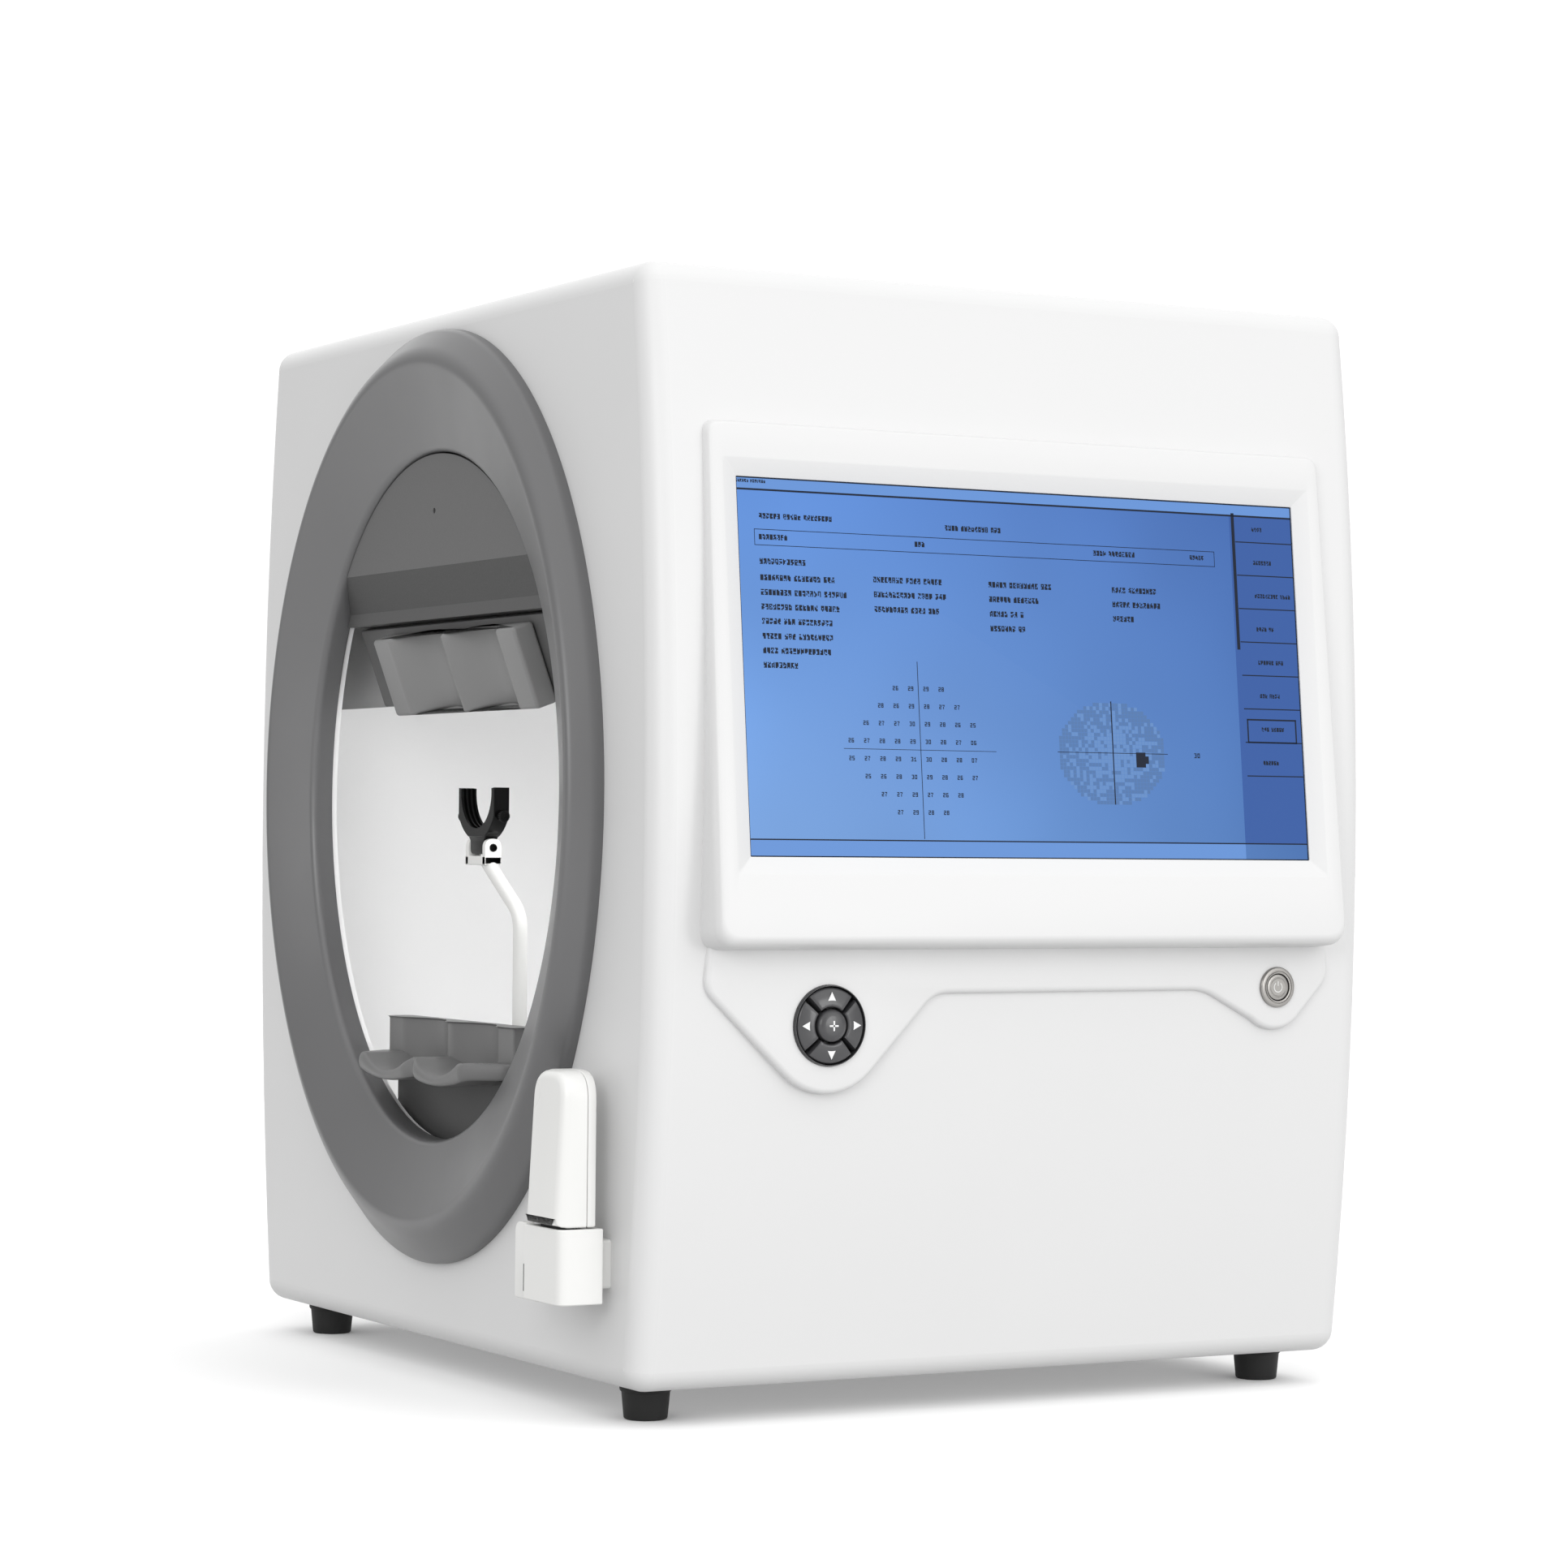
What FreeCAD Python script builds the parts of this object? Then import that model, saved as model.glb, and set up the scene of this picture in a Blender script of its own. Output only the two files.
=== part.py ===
import FreeCAD, Part
import math
import os
import Sketcher
from FreeCAD import Placement, Rotation, Vector

# Automated perimeter (visual field analyser) for an optician's practice. Millimetres, +Z up.
# The patient looks into the oval opening on the -Y side, the operator works at the screen on the +X side.
# Every sub-part is drawn in the cabinet's frame, which has its origin at the centre of the cabinet's
# underside, and its Placement then moves it to the frame of the whole object: the middle of its
# footprint, on the table under the feet.

SIZES = {
    # frame of the whole object
    "shift_x": -9.95, "shift_y": 14.25, "foot_height": 18.0,
    # cabinet: a barrel-sided block, widest at half height
    "cab_height": 572.0, "cab_depth": 438.0, "cab_half_width": 245.0, "barrel_radius": 2050.0,
    "edge_radius": 12.0, "wall": 4.0,
    # patient opening: outer edge, ridge, lip and throat are ellipses about nearly one centre
    "oval_centre": 302.0, "skirt_half_width": 208.0, "skirt_half_height": 258.0, "skirt_height": 6.0,
    "ridge_half_width": 203.0, "ridge_half_height": 240.0, "ridge_height": 21.0, "ridge_centre": 305.0,
    "throat_half_width": 165.0, "throat_half_height": 190.0, "lip_height": 5.0, "throat_depth": 7.5,
    "throat_wall": 11.0,
    # bowl: a ball cut flat in front and below
    "bowl_radius": 245.0, "bowl_wall": 3.0, "bowl_y": -160.0, "bowl_front": -211.0, "bowl_floor": 104.0,
    "eye_height": 290.0,
    # hood and forehead rest
    "hood_front": -222.0, "hood_step": -213.5, "hood_back": -180.0, "hood_low": 429.0, "hood_band": 408.0,
    "hood_base": 401.0, "hood_wall": 3.0, "baffle_low": 356.0, "bracket_low": 357.0,
    "bracket_half_width": 138.0, "bracket_wall": 6.0, "rest_lean": 20.0, "rest_half_width": 94.0,
    "rest_length": 46.0, "rest_wall": 6.5, "rest_flat": 22.0, "rest_channel_radius": 120.0,
    # chin rest
    "chin_half_width": 83.0, "chin_front_half": 68.0, "chin_front": -235.0, "chin_back": -198.5,
    "chin_wall_front": -206.0, "chin_low": 147.0, "chin_tray": 10.0, "chin_wall_top": 177.0,
    "cup_pitch": 66.0, "cup_radius": 92.5, "cup_depth": 5.0,
    "apron_half_width": 80.0, "apron_wall": 6.5, "apron_low": 48.0,
    "chin_travel": 40.0, "cross_travel": 8.0, "lift_rod_radius": 3.0, "lift_rod_offset": 40.0,
    "cross_rail_radius": 4.0, "rail_half_length": 120.0, "running_gap": 0.05,
    # trial lens arm and holder
    "post_x": 49.0, "arm_y": -190.0, "arm_radius": 4.0, "post_top": 237.0, "arm_bend_radius": 16.0,
    "arm_end_x": 6.0, "arm_end_z": 265.0, "pin_z": 273.5, "pin_radius": 1.5, "ear_radius": 5.0,
    "holder_half_width": 23.5, "holder_low": 279.5, "holder_top": 306.5, "holder_depth": 9.5,
    "lens_centre": 304.3, "lens_radius": 20.0, "groove_radius": 21.3,
    # operator side: screen set back in a fascia that leans by screen_lean
    "screen_x": 269.0, "screen_z": 367.0, "screen_lean": 5.8, "screen_width": 344.2, "screen_height": 193.6,
    "fascia_proud": 3.5, "fascia_top_half": 187.0, "fascia_low_half": 193.0, "fascia_up": 123.0,
    "fascia_down": 142.5, "bevel_width": 8.5, "panel_face": 267.0,
    "pad_y": -119.5, "pad_z": 185.0, "pad_bezel_radius": 20.9, "pad_radius": 19.7, "centre_key_radius": 8.6,
    "key_gap_angle": 4.0, "key_proud": 3.0, "key_back": 256.0,
    "power_y": 159.0, "power_z": 202.0, "power_bezel_radius": 11.0, "power_barrel_radius": 9.4,
    "power_cap_radius": 7.0,
    # response handset in its holder
    "handset_x": 207.5, "handset_half_width": 19.0, "handset_front": -248.5, "handset_back": -230.5,
    "handset_split": -235.5, "handset_low": 83.0, "handset_top": 160.0, "handset_round": 15.0,
    "button_half_width": 15.0, "button_low": 56.0,
    # feet
    "foot_x": 206.0, "foot_y": 191.0, "foot_radius": 14.0, "foot_tip_radius": 12.5,
}


class Dim:
    """A size with its value in millimetres and the sheet formula that gives it."""

    def __init__(self, value, text):
        self.value = float(value)
        self.text = text

    @staticmethod
    def of(other):
        return other if isinstance(other, Dim) else Dim(other, repr(float(other)))

    def __add__(self, other):
        other = Dim.of(other)
        return Dim(self.value + other.value, f"({self.text} + {other.text})")

    def __sub__(self, other):
        other = Dim.of(other)
        return Dim(self.value - other.value, f"({self.text} - {other.text})")

    def __mul__(self, factor):
        return Dim(self.value * factor, f"({self.text} * {factor!r})")

    def __neg__(self):
        return Dim(-self.value, f"(-1 * {self.text})")

    def __radd__(self, other):
        return Dim.of(other) + self

    def __rsub__(self, other):
        return Dim.of(other) - self


class Sizes:
    """Looks a driving dimension up by its name."""

    def __getattr__(self, name):
        return Dim(SIZES[name], "Sizes." + name)


doc = FreeCAD.newDocument("perimeter")
sheet = doc.addObject("Spreadsheet::Sheet", "Sizes")
for row, (alias, number) in enumerate(SIZES.items(), start=1):
    sheet.set(f"A{row}", alias)
    sheet.set(f"B{row}", str(number))
    sheet.setAlias(f"B{row}", alias)
doc.recompute()
s = Sizes()
subparts = []

# rotations that lay a primitive's own +Z along a row axis
ALONG = {"X": Rotation(Vector(0, 1, 0), 90), "Y": Rotation(Vector(1, 0, 0), -90), "Z": Rotation()}
# an ellipse's long axis upright and its normal along Y
UPRIGHT = Rotation(Vector(1, 1, 1), 240)
# the screen's own frame: X is its outward normal
SCREEN = Rotation(Vector(0, 1, 0), -SIZES["screen_lean"])


# ---- building blocks ----

def tie(item, prop, size):
    """Binds one property to the sheet."""
    item.setExpression(prop, Dim.of(size).text)


def put(item, x, y, z, rotation=Rotation()):
    """Places an object, with its position bound to the sheet."""
    x, y, z = Dim.of(x), Dim.of(y), Dim.of(z)
    item.Placement = Placement(Vector(x.value, y.value, z.value), rotation)
    tie(item, "Placement.Base.x", x)
    tie(item, "Placement.Base.y", y)
    tie(item, "Placement.Base.z", z)
    return item


def box(x, y, z):
    """A block between two limits on each axis."""
    item = doc.addObject("Part::Box", "Block")
    for prop, (low, high) in zip(("Length", "Width", "Height"), (x, y, z)):
        tie(item, prop, Dim.of(high) - low)
    return put(item, x[0], y[0], z[0])


def rod(axis, radius, x, y, z, angle=360.0, spin=0.0):
    """A cylinder along one axis: that axis is given as a (low, high) pair, the other two as its centre."""
    place = {"X": x, "Y": y, "Z": z}
    low, high = place[axis]
    place[axis] = low
    item = doc.addObject("Part::Cylinder", "Rod")
    tie(item, "Radius", radius)
    tie(item, "Height", Dim.of(high) - low)
    item.Angle = angle
    return put(item, place["X"], place["Y"], place["Z"], ALONG[axis] * Rotation(Vector(0, 0, 1), spin))


def cone(axis, radius_low, radius_high, x, y, z):
    place = {"X": x, "Y": y, "Z": z}
    low, high = place[axis]
    place[axis] = low
    item = doc.addObject("Part::Cone", "Taper")
    tie(item, "Radius1", radius_low)
    tie(item, "Radius2", radius_high)
    tie(item, "Height", Dim.of(high) - low)
    return put(item, place["X"], place["Y"], place["Z"], ALONG[axis])


def dome_block(radius, x, y, z, front):
    """The part of a ball about (x, y, z) that lies behind the plane at front."""
    item = doc.addObject("Part::Sphere", "Dome")
    tie(item, "Radius", radius)
    ahead, reach = Dim.of(front) - y, Dim.of(radius)
    tie(item, "Angle1", Dim(math.degrees(math.asin(ahead.value / reach.value)),
                            f"asin({ahead.text} / {reach.text})"))
    return put(item, x, y, z, ALONG["Y"])


def oval_prism(sections):
    """Ruled loft through upright ellipses, each (y, half width, half height, centre height)."""
    rings = []
    for y, half_width, half_height, centre in sections:
        ring = doc.addObject("Part::Ellipse", "Oval")
        tie(ring, "MajorRadius", half_height)
        tie(ring, "MinorRadius", half_width)
        rings.append(put(ring, 0, y, centre, UPRIGHT))
    loft = doc.addObject("Part::Loft", "OvalPrism")
    loft.Sections = rings
    loft.Solid = True
    loft.Ruled = True
    return loft


def oval_bar(half_width, half_height, y):
    """Upright ellipse about the opening's centre, drawn out along Y between two limits."""
    ring = doc.addObject("Part::Ellipse", "Oval")
    tie(ring, "MajorRadius", half_height)
    tie(ring, "MinorRadius", half_width)
    put(ring, 0, y[0], s.oval_centre, UPRIGHT)
    bar = doc.addObject("Part::Extrusion", "OvalBar")
    bar.Base = ring
    bar.DirMode = "Custom"
    bar.Dir = Vector(0, 1, 0)
    tie(bar, "LengthFwd", Dim.of(y[1]) - y[0])
    bar.Solid = True
    return bar


def fuse(*parts):
    item = doc.addObject("Part::MultiFuse", "Union")
    item.Shapes = list(parts)
    return item


def group(*parts):
    """Separate solids in one sub-part."""
    item = doc.addObject("Part::Compound", "Group")
    item.Links = list(parts)
    return item


def cut(base, *tools):
    item = doc.addObject("Part::Cut", "Cutout")
    item.Base = base
    item.Tool = tools[0] if len(tools) == 1 else fuse(*tools)
    return item


def common(base, tool):
    item = doc.addObject("Part::Common", "Overlap")
    item.Base = base
    item.Tool = tool
    return item


def soften(base, radius, wanted):
    """Rounds the edges of base that wanted(edge) picks."""
    doc.recompute()
    picked = [n for n, edge in enumerate(base.Shape.Edges, start=1) if wanted(edge)]
    item = doc.addObject("Part::Fillet", "Softened")
    item.Base = base
    item.Edges = [(n, radius, radius) for n in picked]
    return item


def new_body(name):
    return doc.addObject("PartDesign::Body", name)


def plane_of(body, role):
    return next(f for f in body.Origin.OriginFeatures if f.Role == role)


def outline(body, role, corners, lift=0.0):
    """Closed sketch on one of the body's planes, lifted along that plane's normal.

    corners run counter-clockwise; each is (u, v) or (u, v, radius) where the edge that follows is an arc,
    bulging outwards for a positive radius and inwards for a negative one.
    """
    sketch = body.newObject("Sketcher::SketchObject", "Outline")
    sketch.AttachmentSupport = [(plane_of(body, role), "")]
    sketch.MapMode = "FlatFace"
    lift = Dim.of(lift)
    sketch.AttachmentOffset = Placement(Vector(0, 0, lift.value), Rotation())
    tie(sketch, "AttachmentOffset.Base.z", lift)
    corners = [tuple(Dim.of(c) for c in corner) for corner in corners]
    points = [Vector(c[0].value, c[1].value, 0) for c in corners]
    ends = []
    for n, corner in enumerate(corners):
        start, end = points[n], points[(n + 1) % len(points)]
        if len(corner) == 2:
            sketch.addGeometry(Part.LineSegment(start, end), False)
            ends.append((1, 2))
            continue
        radius = corner[2].value
        chord = end - start
        inward = Vector(-chord.y, chord.x, 0).normalize()
        rise = math.sqrt(radius * radius - chord.Length ** 2 / 4) * math.copysign(1, radius)
        centre = (start + end) * 0.5 + inward * rise
        first, last = (start, end) if radius > 0 else (end, start)
        angles = [math.atan2(p.y - centre.y, p.x - centre.x) for p in (first, last)]
        circle = Part.Circle(centre, Vector(0, 0, 1), abs(radius))
        sketch.addGeometry(Part.ArcOfCircle(circle, *angles), False)
        ends.append((1, 2) if radius > 0 else (2, 1))
    for n in range(len(corners)):
        following = (n + 1) % len(corners)
        joint = ("Coincident", n, ends[n][1], following, ends[following][0])
        sketch.addConstraint(Sketcher.Constraint(*joint))
    for n, corner in enumerate(corners):
        for kind, size in (("DistanceX", corner[0]), ("DistanceY", corner[1])):
            place = Sketcher.Constraint(kind, -1, 1, n, ends[n][0], size.value)
            sketch.setExpression(f"Constraints[{sketch.addConstraint(place)}]", size.text)
        if len(corner) == 3:
            size = corner[2] if corner[2].value > 0 else -corner[2]
            place = Sketcher.Constraint("Radius", n, size.value)
            sketch.setExpression(f"Constraints[{sketch.addConstraint(place)}]", size.text)
    return sketch


def pad(body, sketch, length, both_ways=False, reverse=False):
    item = body.newObject("PartDesign::Pad", "Pad")
    item.Profile = sketch
    tie(item, "Length", length)
    item.Midplane = both_ways
    item.Reversed = reverse
    return item


def slab(role, corners, length, lift=0.0, both_ways=False, reverse=False):
    """A body padded from one outline."""
    body = new_body("Slab")
    pad(body, outline(body, role, corners, lift), length, both_ways, reverse)
    return body


def round_edges(body, radius, wanted):
    """Adds a fillet to a body on the edges that wanted(edge) picks."""
    doc.recompute()
    solid = body.Tip
    picked = [f"Edge{n}" for n, edge in enumerate(solid.Shape.Edges, start=1) if wanted(edge)]
    item = body.newObject("PartDesign::Fillet", "Fillet")
    item.Base = (solid, picked)
    item.Radius = radius
    body.Tip = item
    return body


def straight(axis):
    """Picks the straight edges that run along an axis."""
    def wanted(edge):
        along = edge.tangentAt(edge.FirstParameter)[axis]
        return edge.Curve.TypeId == "Part::GeomLine" and abs(along) > 0.999
    return wanted


def at_height(axis, value):
    """Picks the edges that lie wholly in one plane across an axis."""
    def wanted(edge):
        span = edge.BoundBox
        low, high = ((span.XMin, span.XMax), (span.YMin, span.YMax), (span.ZMin, span.ZMax))[axis]
        return abs(low - value) < 1e-4 and abs(high - value) < 1e-4
    return wanted


def keep(label, item):
    """Names a finished sub-part and moves it from the cabinet's frame to the frame of the whole object."""
    base = item.Placement.Base
    rotation = item.Placement.Rotation
    previous = dict(item.ExpressionEngine)
    for axis, shift in (("x", s.shift_x), ("y", s.shift_y), ("z", s.foot_height)):
        own = previous.get(f".Placement.Base.{axis}", previous.get(f"Placement.Base.{axis}"))
        own = Dim(getattr(base, axis), own) if own else Dim.of(getattr(base, axis))
        tie(item, f"Placement.Base.{axis}", own + shift)
    item.Placement = Placement(base + Vector(s.shift_x.value, s.shift_y.value, s.foot_height.value), rotation)
    item.Label = label
    subparts.append(item)
    return item


# ---- cabinet ----

def barrel(inset, front, back, radius):
    """Barrel-sided block inside the cabinet's outline by inset, from front to back, with rounded edges."""
    half, height = s.cab_half_width - inset, s.cab_height - inset
    bulge = s.barrel_radius
    corners = [(-half, inset), (half, inset, bulge), (half, height), (-half, height, bulge)]
    body = new_body("Barrel")
    pad(body, outline(body, "XZ_Plane", corners, lift=-Dim.of(back)), Dim.of(back) - front)
    for wanted in (straight(1), at_height(1, front), at_height(1, back)):
        round_edges(body, radius, wanted)
    return body


FRONT = -SIZES["cab_depth"] / 2
BACK = SIZES["cab_depth"] / 2
outer = barrel(Dim.of(0.0), FRONT, BACK, SIZES["edge_radius"])


def screen_box(depth, half_width, half_height):
    """Block square to the leaning screen, depth being a (low, high) pair along the screen's normal."""
    low, high = depth
    block = box((0, high - low), (0, half_width * 2), (0, half_height * 2))
    corner = SCREEN.multVec(Vector(low, -half_width.value, -half_height.value))
    return put(block, s.screen_x + corner.x, corner.y, s.screen_z + corner.z, SCREEN)


def cabinet_shell():
    inner = barrel(s.wall, FRONT + SIZES["wall"], BACK - SIZES["wall"], SIZES["edge_radius"] - SIZES["wall"])
    oval = oval_prism([(y, s.throat_half_width + 32, s.throat_half_height + 34, s.oval_centre)
                       for y in (FRONT - 1, FRONT + 10)])
    display = screen_box((-60.0, 25.0), s.screen_width * 0.5 + 6, s.screen_height * 0.5 + 6)
    keypad = rod("X", s.pad_bezel_radius + 0.1, (200, 300), s.pad_y, s.pad_z)
    power = rod("X", s.power_barrel_radius + 0.1, (200, 300), s.power_y, s.power_z)
    rear = box((-175, 175), (BACK - 10, BACK + 1), (70, 500))
    service = box((-280, -230), (-110, 120), (150, 460))
    screws = [rod("Z", 2.2, x, y, (-1, 10)) for x, y in foot_places()]
    screws += [rod("Y", 2.0, x, (BACK - 10, BACK + 1), z) for x, z in cover_screw_places()]
    keep("cabinet_shell", cut(outer, inner, oval, display, keypad, power, rear, service, *screws))


def foot_places():
    return [(s.foot_x * sx, s.foot_y * sy) for sx in (-1, 1) for sy in (-1, 1)]


def covers():
    """Raised service cover on the side away from the operator, and the vented rear cover."""
    proud = barrel(Dim.of(-1.5), FRONT + 20, BACK - 20, 2.0)
    patch = box((-280, -240), (-130, 140), (130, 480))
    keep("service_cover", cut(common(proud, patch), outer))
    corners = [(-188, 56), (188, 56), (188, 514), (-188, 514)]
    plate = round_edges(slab("XZ_Plane", corners, 2.5, lift=-(BACK + 2.5)), 12.0, straight(1))
    slots = [box((-60, 120), (BACK - 1, BACK + 5), (z, z + 4.0)) for z in range(400, 500, 10)]
    fan_rings = [fan_slot(radius) for radius in (10.0, 18.0, 26.0, 34.0)]
    inlet = box((120, 148.4), (BACK - 1, BACK + 5), (80, 100.4))
    ports = box((20, 80.4), (BACK - 1, BACK + 5), (84, 98.4))
    holes = [rod("Y", 2.1, x, (BACK - 1, BACK + 5), z) for x, z in cover_screw_places()]
    keep("rear_cover", cut(plate, *slots, *fan_rings, inlet, ports, *holes))
    screws = []
    for x, z in cover_screw_places():
        shank = rod("Y", 2.0, x, (BACK - 8, BACK + 2.5), z)
        head = rod("Y", 3.6, x, (BACK + 2.5, BACK + 4.5), z)
        screws.append(fuse(shank, head))
    keep("rear_cover_screws", group(*screws))


def fan_slot(radius):
    """Ring-shaped vent in front of the fan, split in four by two ribs."""
    x, z = -125, 430
    ring = rod("Y", radius + 3.0, x, (BACK - 1, BACK + 5), z)
    middle = rod("Y", radius, x, (BACK - 2, BACK + 6), z)
    upright = box((x - 4, x + 4), (BACK - 3, BACK + 7), (z - 50, z + 50))
    level = box((x - 55, x + 55), (BACK - 3, BACK + 7), (z - 4, z + 4))
    return cut(ring, middle, upright, level)


def cover_screw_places():
    return [(x, z) for x in (-180, 180) for z in (66, 285, 504)]


def base_and_feet():
    keep("base_plate", box((-215, 215), (-198, 198), (s.wall, s.wall + 3)))
    feet = []
    for x, y in foot_places():
        foot = cone("Z", s.foot_tip_radius, s.foot_radius, x, y, (-s.foot_height, -3))
        collar = rod("Z", s.foot_radius + 1, x, y, (-3, 0))
        recess = rod("Z", 4.5, x, y, (-s.foot_height - 1, -10))
        feet.append(cut(fuse(foot, collar), recess))
    keep("rubber_feet", group(*feet))


# ---- patient opening ----

def opening_ring():
    skirt = FRONT - s.skirt_height
    ridge = FRONT - s.ridge_height
    lip = FRONT - s.lip_height
    rear = FRONT + s.throat_depth
    body = oval_prism([(FRONT, s.skirt_half_width, s.skirt_half_height, s.oval_centre),
                       (skirt, s.skirt_half_width, s.skirt_half_height, s.oval_centre),
                       (ridge, s.ridge_half_width, s.ridge_half_height, s.ridge_centre)])
    tube_half_width = s.throat_half_width + s.throat_wall
    tube_half_height = s.throat_half_height + s.throat_wall
    tube = oval_prism([(y, tube_half_width, tube_half_height, s.oval_centre) for y in (FRONT - 1, rear)])
    flare = oval_prism([(ridge, s.ridge_half_width, s.ridge_half_height, s.ridge_centre),
                        (lip, s.throat_half_width, s.throat_half_height, s.oval_centre)])
    bore = oval_prism([(y, s.throat_half_width, s.throat_half_height, s.oval_centre)
                       for y in (lip - 0.5, rear + 1)])
    hollow = cut(oval_prism([(y, s.skirt_half_width - 4, s.skirt_half_height - 4, s.oval_centre)
                             for y in (FRONT + 1, FRONT - 6)]),
                 oval_prism([(y, s.throat_half_width + 17, s.throat_half_height + 18, s.oval_centre)
                             for y in (FRONT + 2, FRONT - 7)]))
    keep("opening_ring", cut(fuse(body, tube), flare, bore, hollow))


def bowl():
    """Hollow ball with a flat front wall behind the opening and a flat floor the chin rest comes through."""
    eye, front, floor, wall = s.eye_height, s.bowl_front, s.bowl_floor, s.bowl_wall

    def ball(inset):
        radius = s.bowl_radius + wall - inset
        upper = box((-250, 250), (-250, 100), (floor - wall + inset, 550))
        return common(dome_block(radius, 0, s.bowl_y, eye, front + inset), upper)

    opening = oval_bar(s.throat_half_width + 2, s.throat_half_height + 2, (front - 1, front + wall + 1))
    camera_hole = rod("Y", 8.0, 0, (40, 120), eye)
    beam_hole = rod("Y", 12.0, 0, (0, 80), 450)
    slot_half = s.apron_half_width + 12
    slot = box((-slot_half, slot_half), (front + wall + 0.1, s.chin_wall_front + 8.4), (floor - 4, floor + 1))
    shell = cut(ball(Dim.of(0.0)), ball(wall))
    keep("bowl", cut(cut(shell, opening), camera_hole, beam_hole, slot))
    ribs = [box((x - 1.5, x + 1.5), (-50, 60), (10, 200)) for x in (-90, 90)]
    around = dome_block(s.bowl_radius + wall, 0, s.bowl_y, eye, s.bowl_y)
    keep("bowl_cradle", fuse(box((-100, 100), (-50, 60), (7, 10)), cut(fuse(*ribs), around)))


def hood():
    """Hollow cover over the patient's brow with a slanted underside, the baffle behind it and its sensor."""
    def profile(inset):
        front, step = s.hood_front + inset, s.hood_step + inset
        back = s.hood_back + (1.0 if inset else 0.0)
        base = s.hood_base + inset
        return [(front, s.hood_low + inset), (step, s.hood_band + inset), (step, base), (back, base),
                (back, 520), (front, 520)]
    shells = []
    for inset, gap in ((0.0, 0.6), (SIZES["hood_wall"], SIZES["hood_wall"] + 0.6)):
        prism = slab("YZ_Plane", profile(inset), 2 * SIZES["throat_half_width"], both_ways=True)
        oval = oval_bar(s.throat_half_width - gap, s.throat_half_height - gap, (-230, -170))
        shells.append(common(prism, oval))
    pinhole = rod("Y", 1.6, 0, (-230, -210), 460)
    keep("forehead_hood", cut(cut(shells[0], shells[1]), pinhole))
    sensor_board = box((-8, 8), (-218.9, -217.3), (452, 468))
    keep("room_light_sensor", fuse(rod("Y", 1.4, 0, (-221, -218.9), 460), sensor_board))
    disc = rod("Y", s.bowl_radius - 1.5, 0, (-180, -177), s.eye_height)
    keep("light_baffle", common(disc, box((-250, 250), (-190, -170), (s.baffle_low, 540))))


def forehead_rest():
    top, low = s.hood_base, s.bracket_low
    corners = [(-207, top), (-191, low), (-185, low), (-201, top)]
    keep("forehead_bracket", slab("YZ_Plane", corners, s.bracket_half_width * 2, both_ways=True))
    half, flat, wall = s.rest_half_width, s.rest_flat, s.rest_wall
    ridge = half - flat
    corners = [(-half, -wall), (-ridge, -wall, -s.rest_channel_radius), (0, -wall, -s.rest_channel_radius),
               (ridge, -wall), (half, -wall), (half, 0), (-half, 0)]
    rest = slab("XY_Plane", corners, s.rest_length)
    put(rest, 0, -190.1, 352.5, Rotation(Vector(1, 0, 0), SIZES["rest_lean"]))
    keep("forehead_pad", rest)


# ---- chin rest ----

def chin_rest():
    half, front_half = s.chin_half_width, s.chin_front_half
    low, top = s.chin_low, s.chin_low + s.chin_tray
    corners = [(-half, s.chin_back), (-half, -214), (-front_half - 6, s.chin_front + 6, 9.0),
               (-front_half + 3, s.chin_front), (front_half - 3, s.chin_front, 9.0),
               (front_half + 6, s.chin_front + 6), (half, -214), (half, s.chin_back)]
    tray = slab("XY_Plane", corners, s.chin_tray, lift=low)
    lift = s.cup_radius - s.cup_depth
    cups = [rod("Y", s.cup_radius, s.cup_pitch * 0.5 * side, (-240, s.chin_wall_front), top + lift)
            for side in (-1, 1)]
    wall = box((-half, half), (s.chin_wall_front, s.chin_back), (low, s.chin_wall_top))
    hollows = [rod("Z", s.cup_radius, s.cup_pitch * 0.5 * side, s.chin_wall_front - lift, (top - 5, 180))
               for side in (-1, 1)]
    keep("chin_cup", fuse(cut(tray, *cups), cut(wall, *hollows)))
    apron_front = s.chin_wall_front + 0.5
    apron_back = apron_front + s.apron_wall
    keep("chin_apron", box((-s.apron_half_width, s.apron_half_width), (apron_front, apron_back),
                           (s.apron_low, low)))


def lift_stage():
    """Carriage on two upright rods; the motor hung under it climbs a fixed screw between them."""
    gap = s.running_gap
    rods_x = (-s.lift_rod_offset, s.lift_rod_offset)
    rear = s.chin_wall_front + s.apron_wall + 0.5
    block = box((-52, 52), (rear, -178), (s.apron_low, s.apron_low + 10))
    bores = [rod("Z", s.lift_rod_radius + gap, x, -188, (40, 70)) for x in rods_x]
    keep("lift_carriage", cut(block, *bores, rod("Z", 3.0, 0, -188, (40, 70))))
    keep("lift_screw", rod("Z", 2.5, 0, -188, (28, 99)))
    keep("lift_rods", group(*[rod("Z", s.lift_rod_radius, x, -188, (28, 99)) for x in rods_x]))
    motor = box((-14, 14), (-199, -174), (29, s.apron_low))
    keep("lift_motor", cut(motor, rod("Z", 3.0, 0, -188, (27, 60))))


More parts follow.
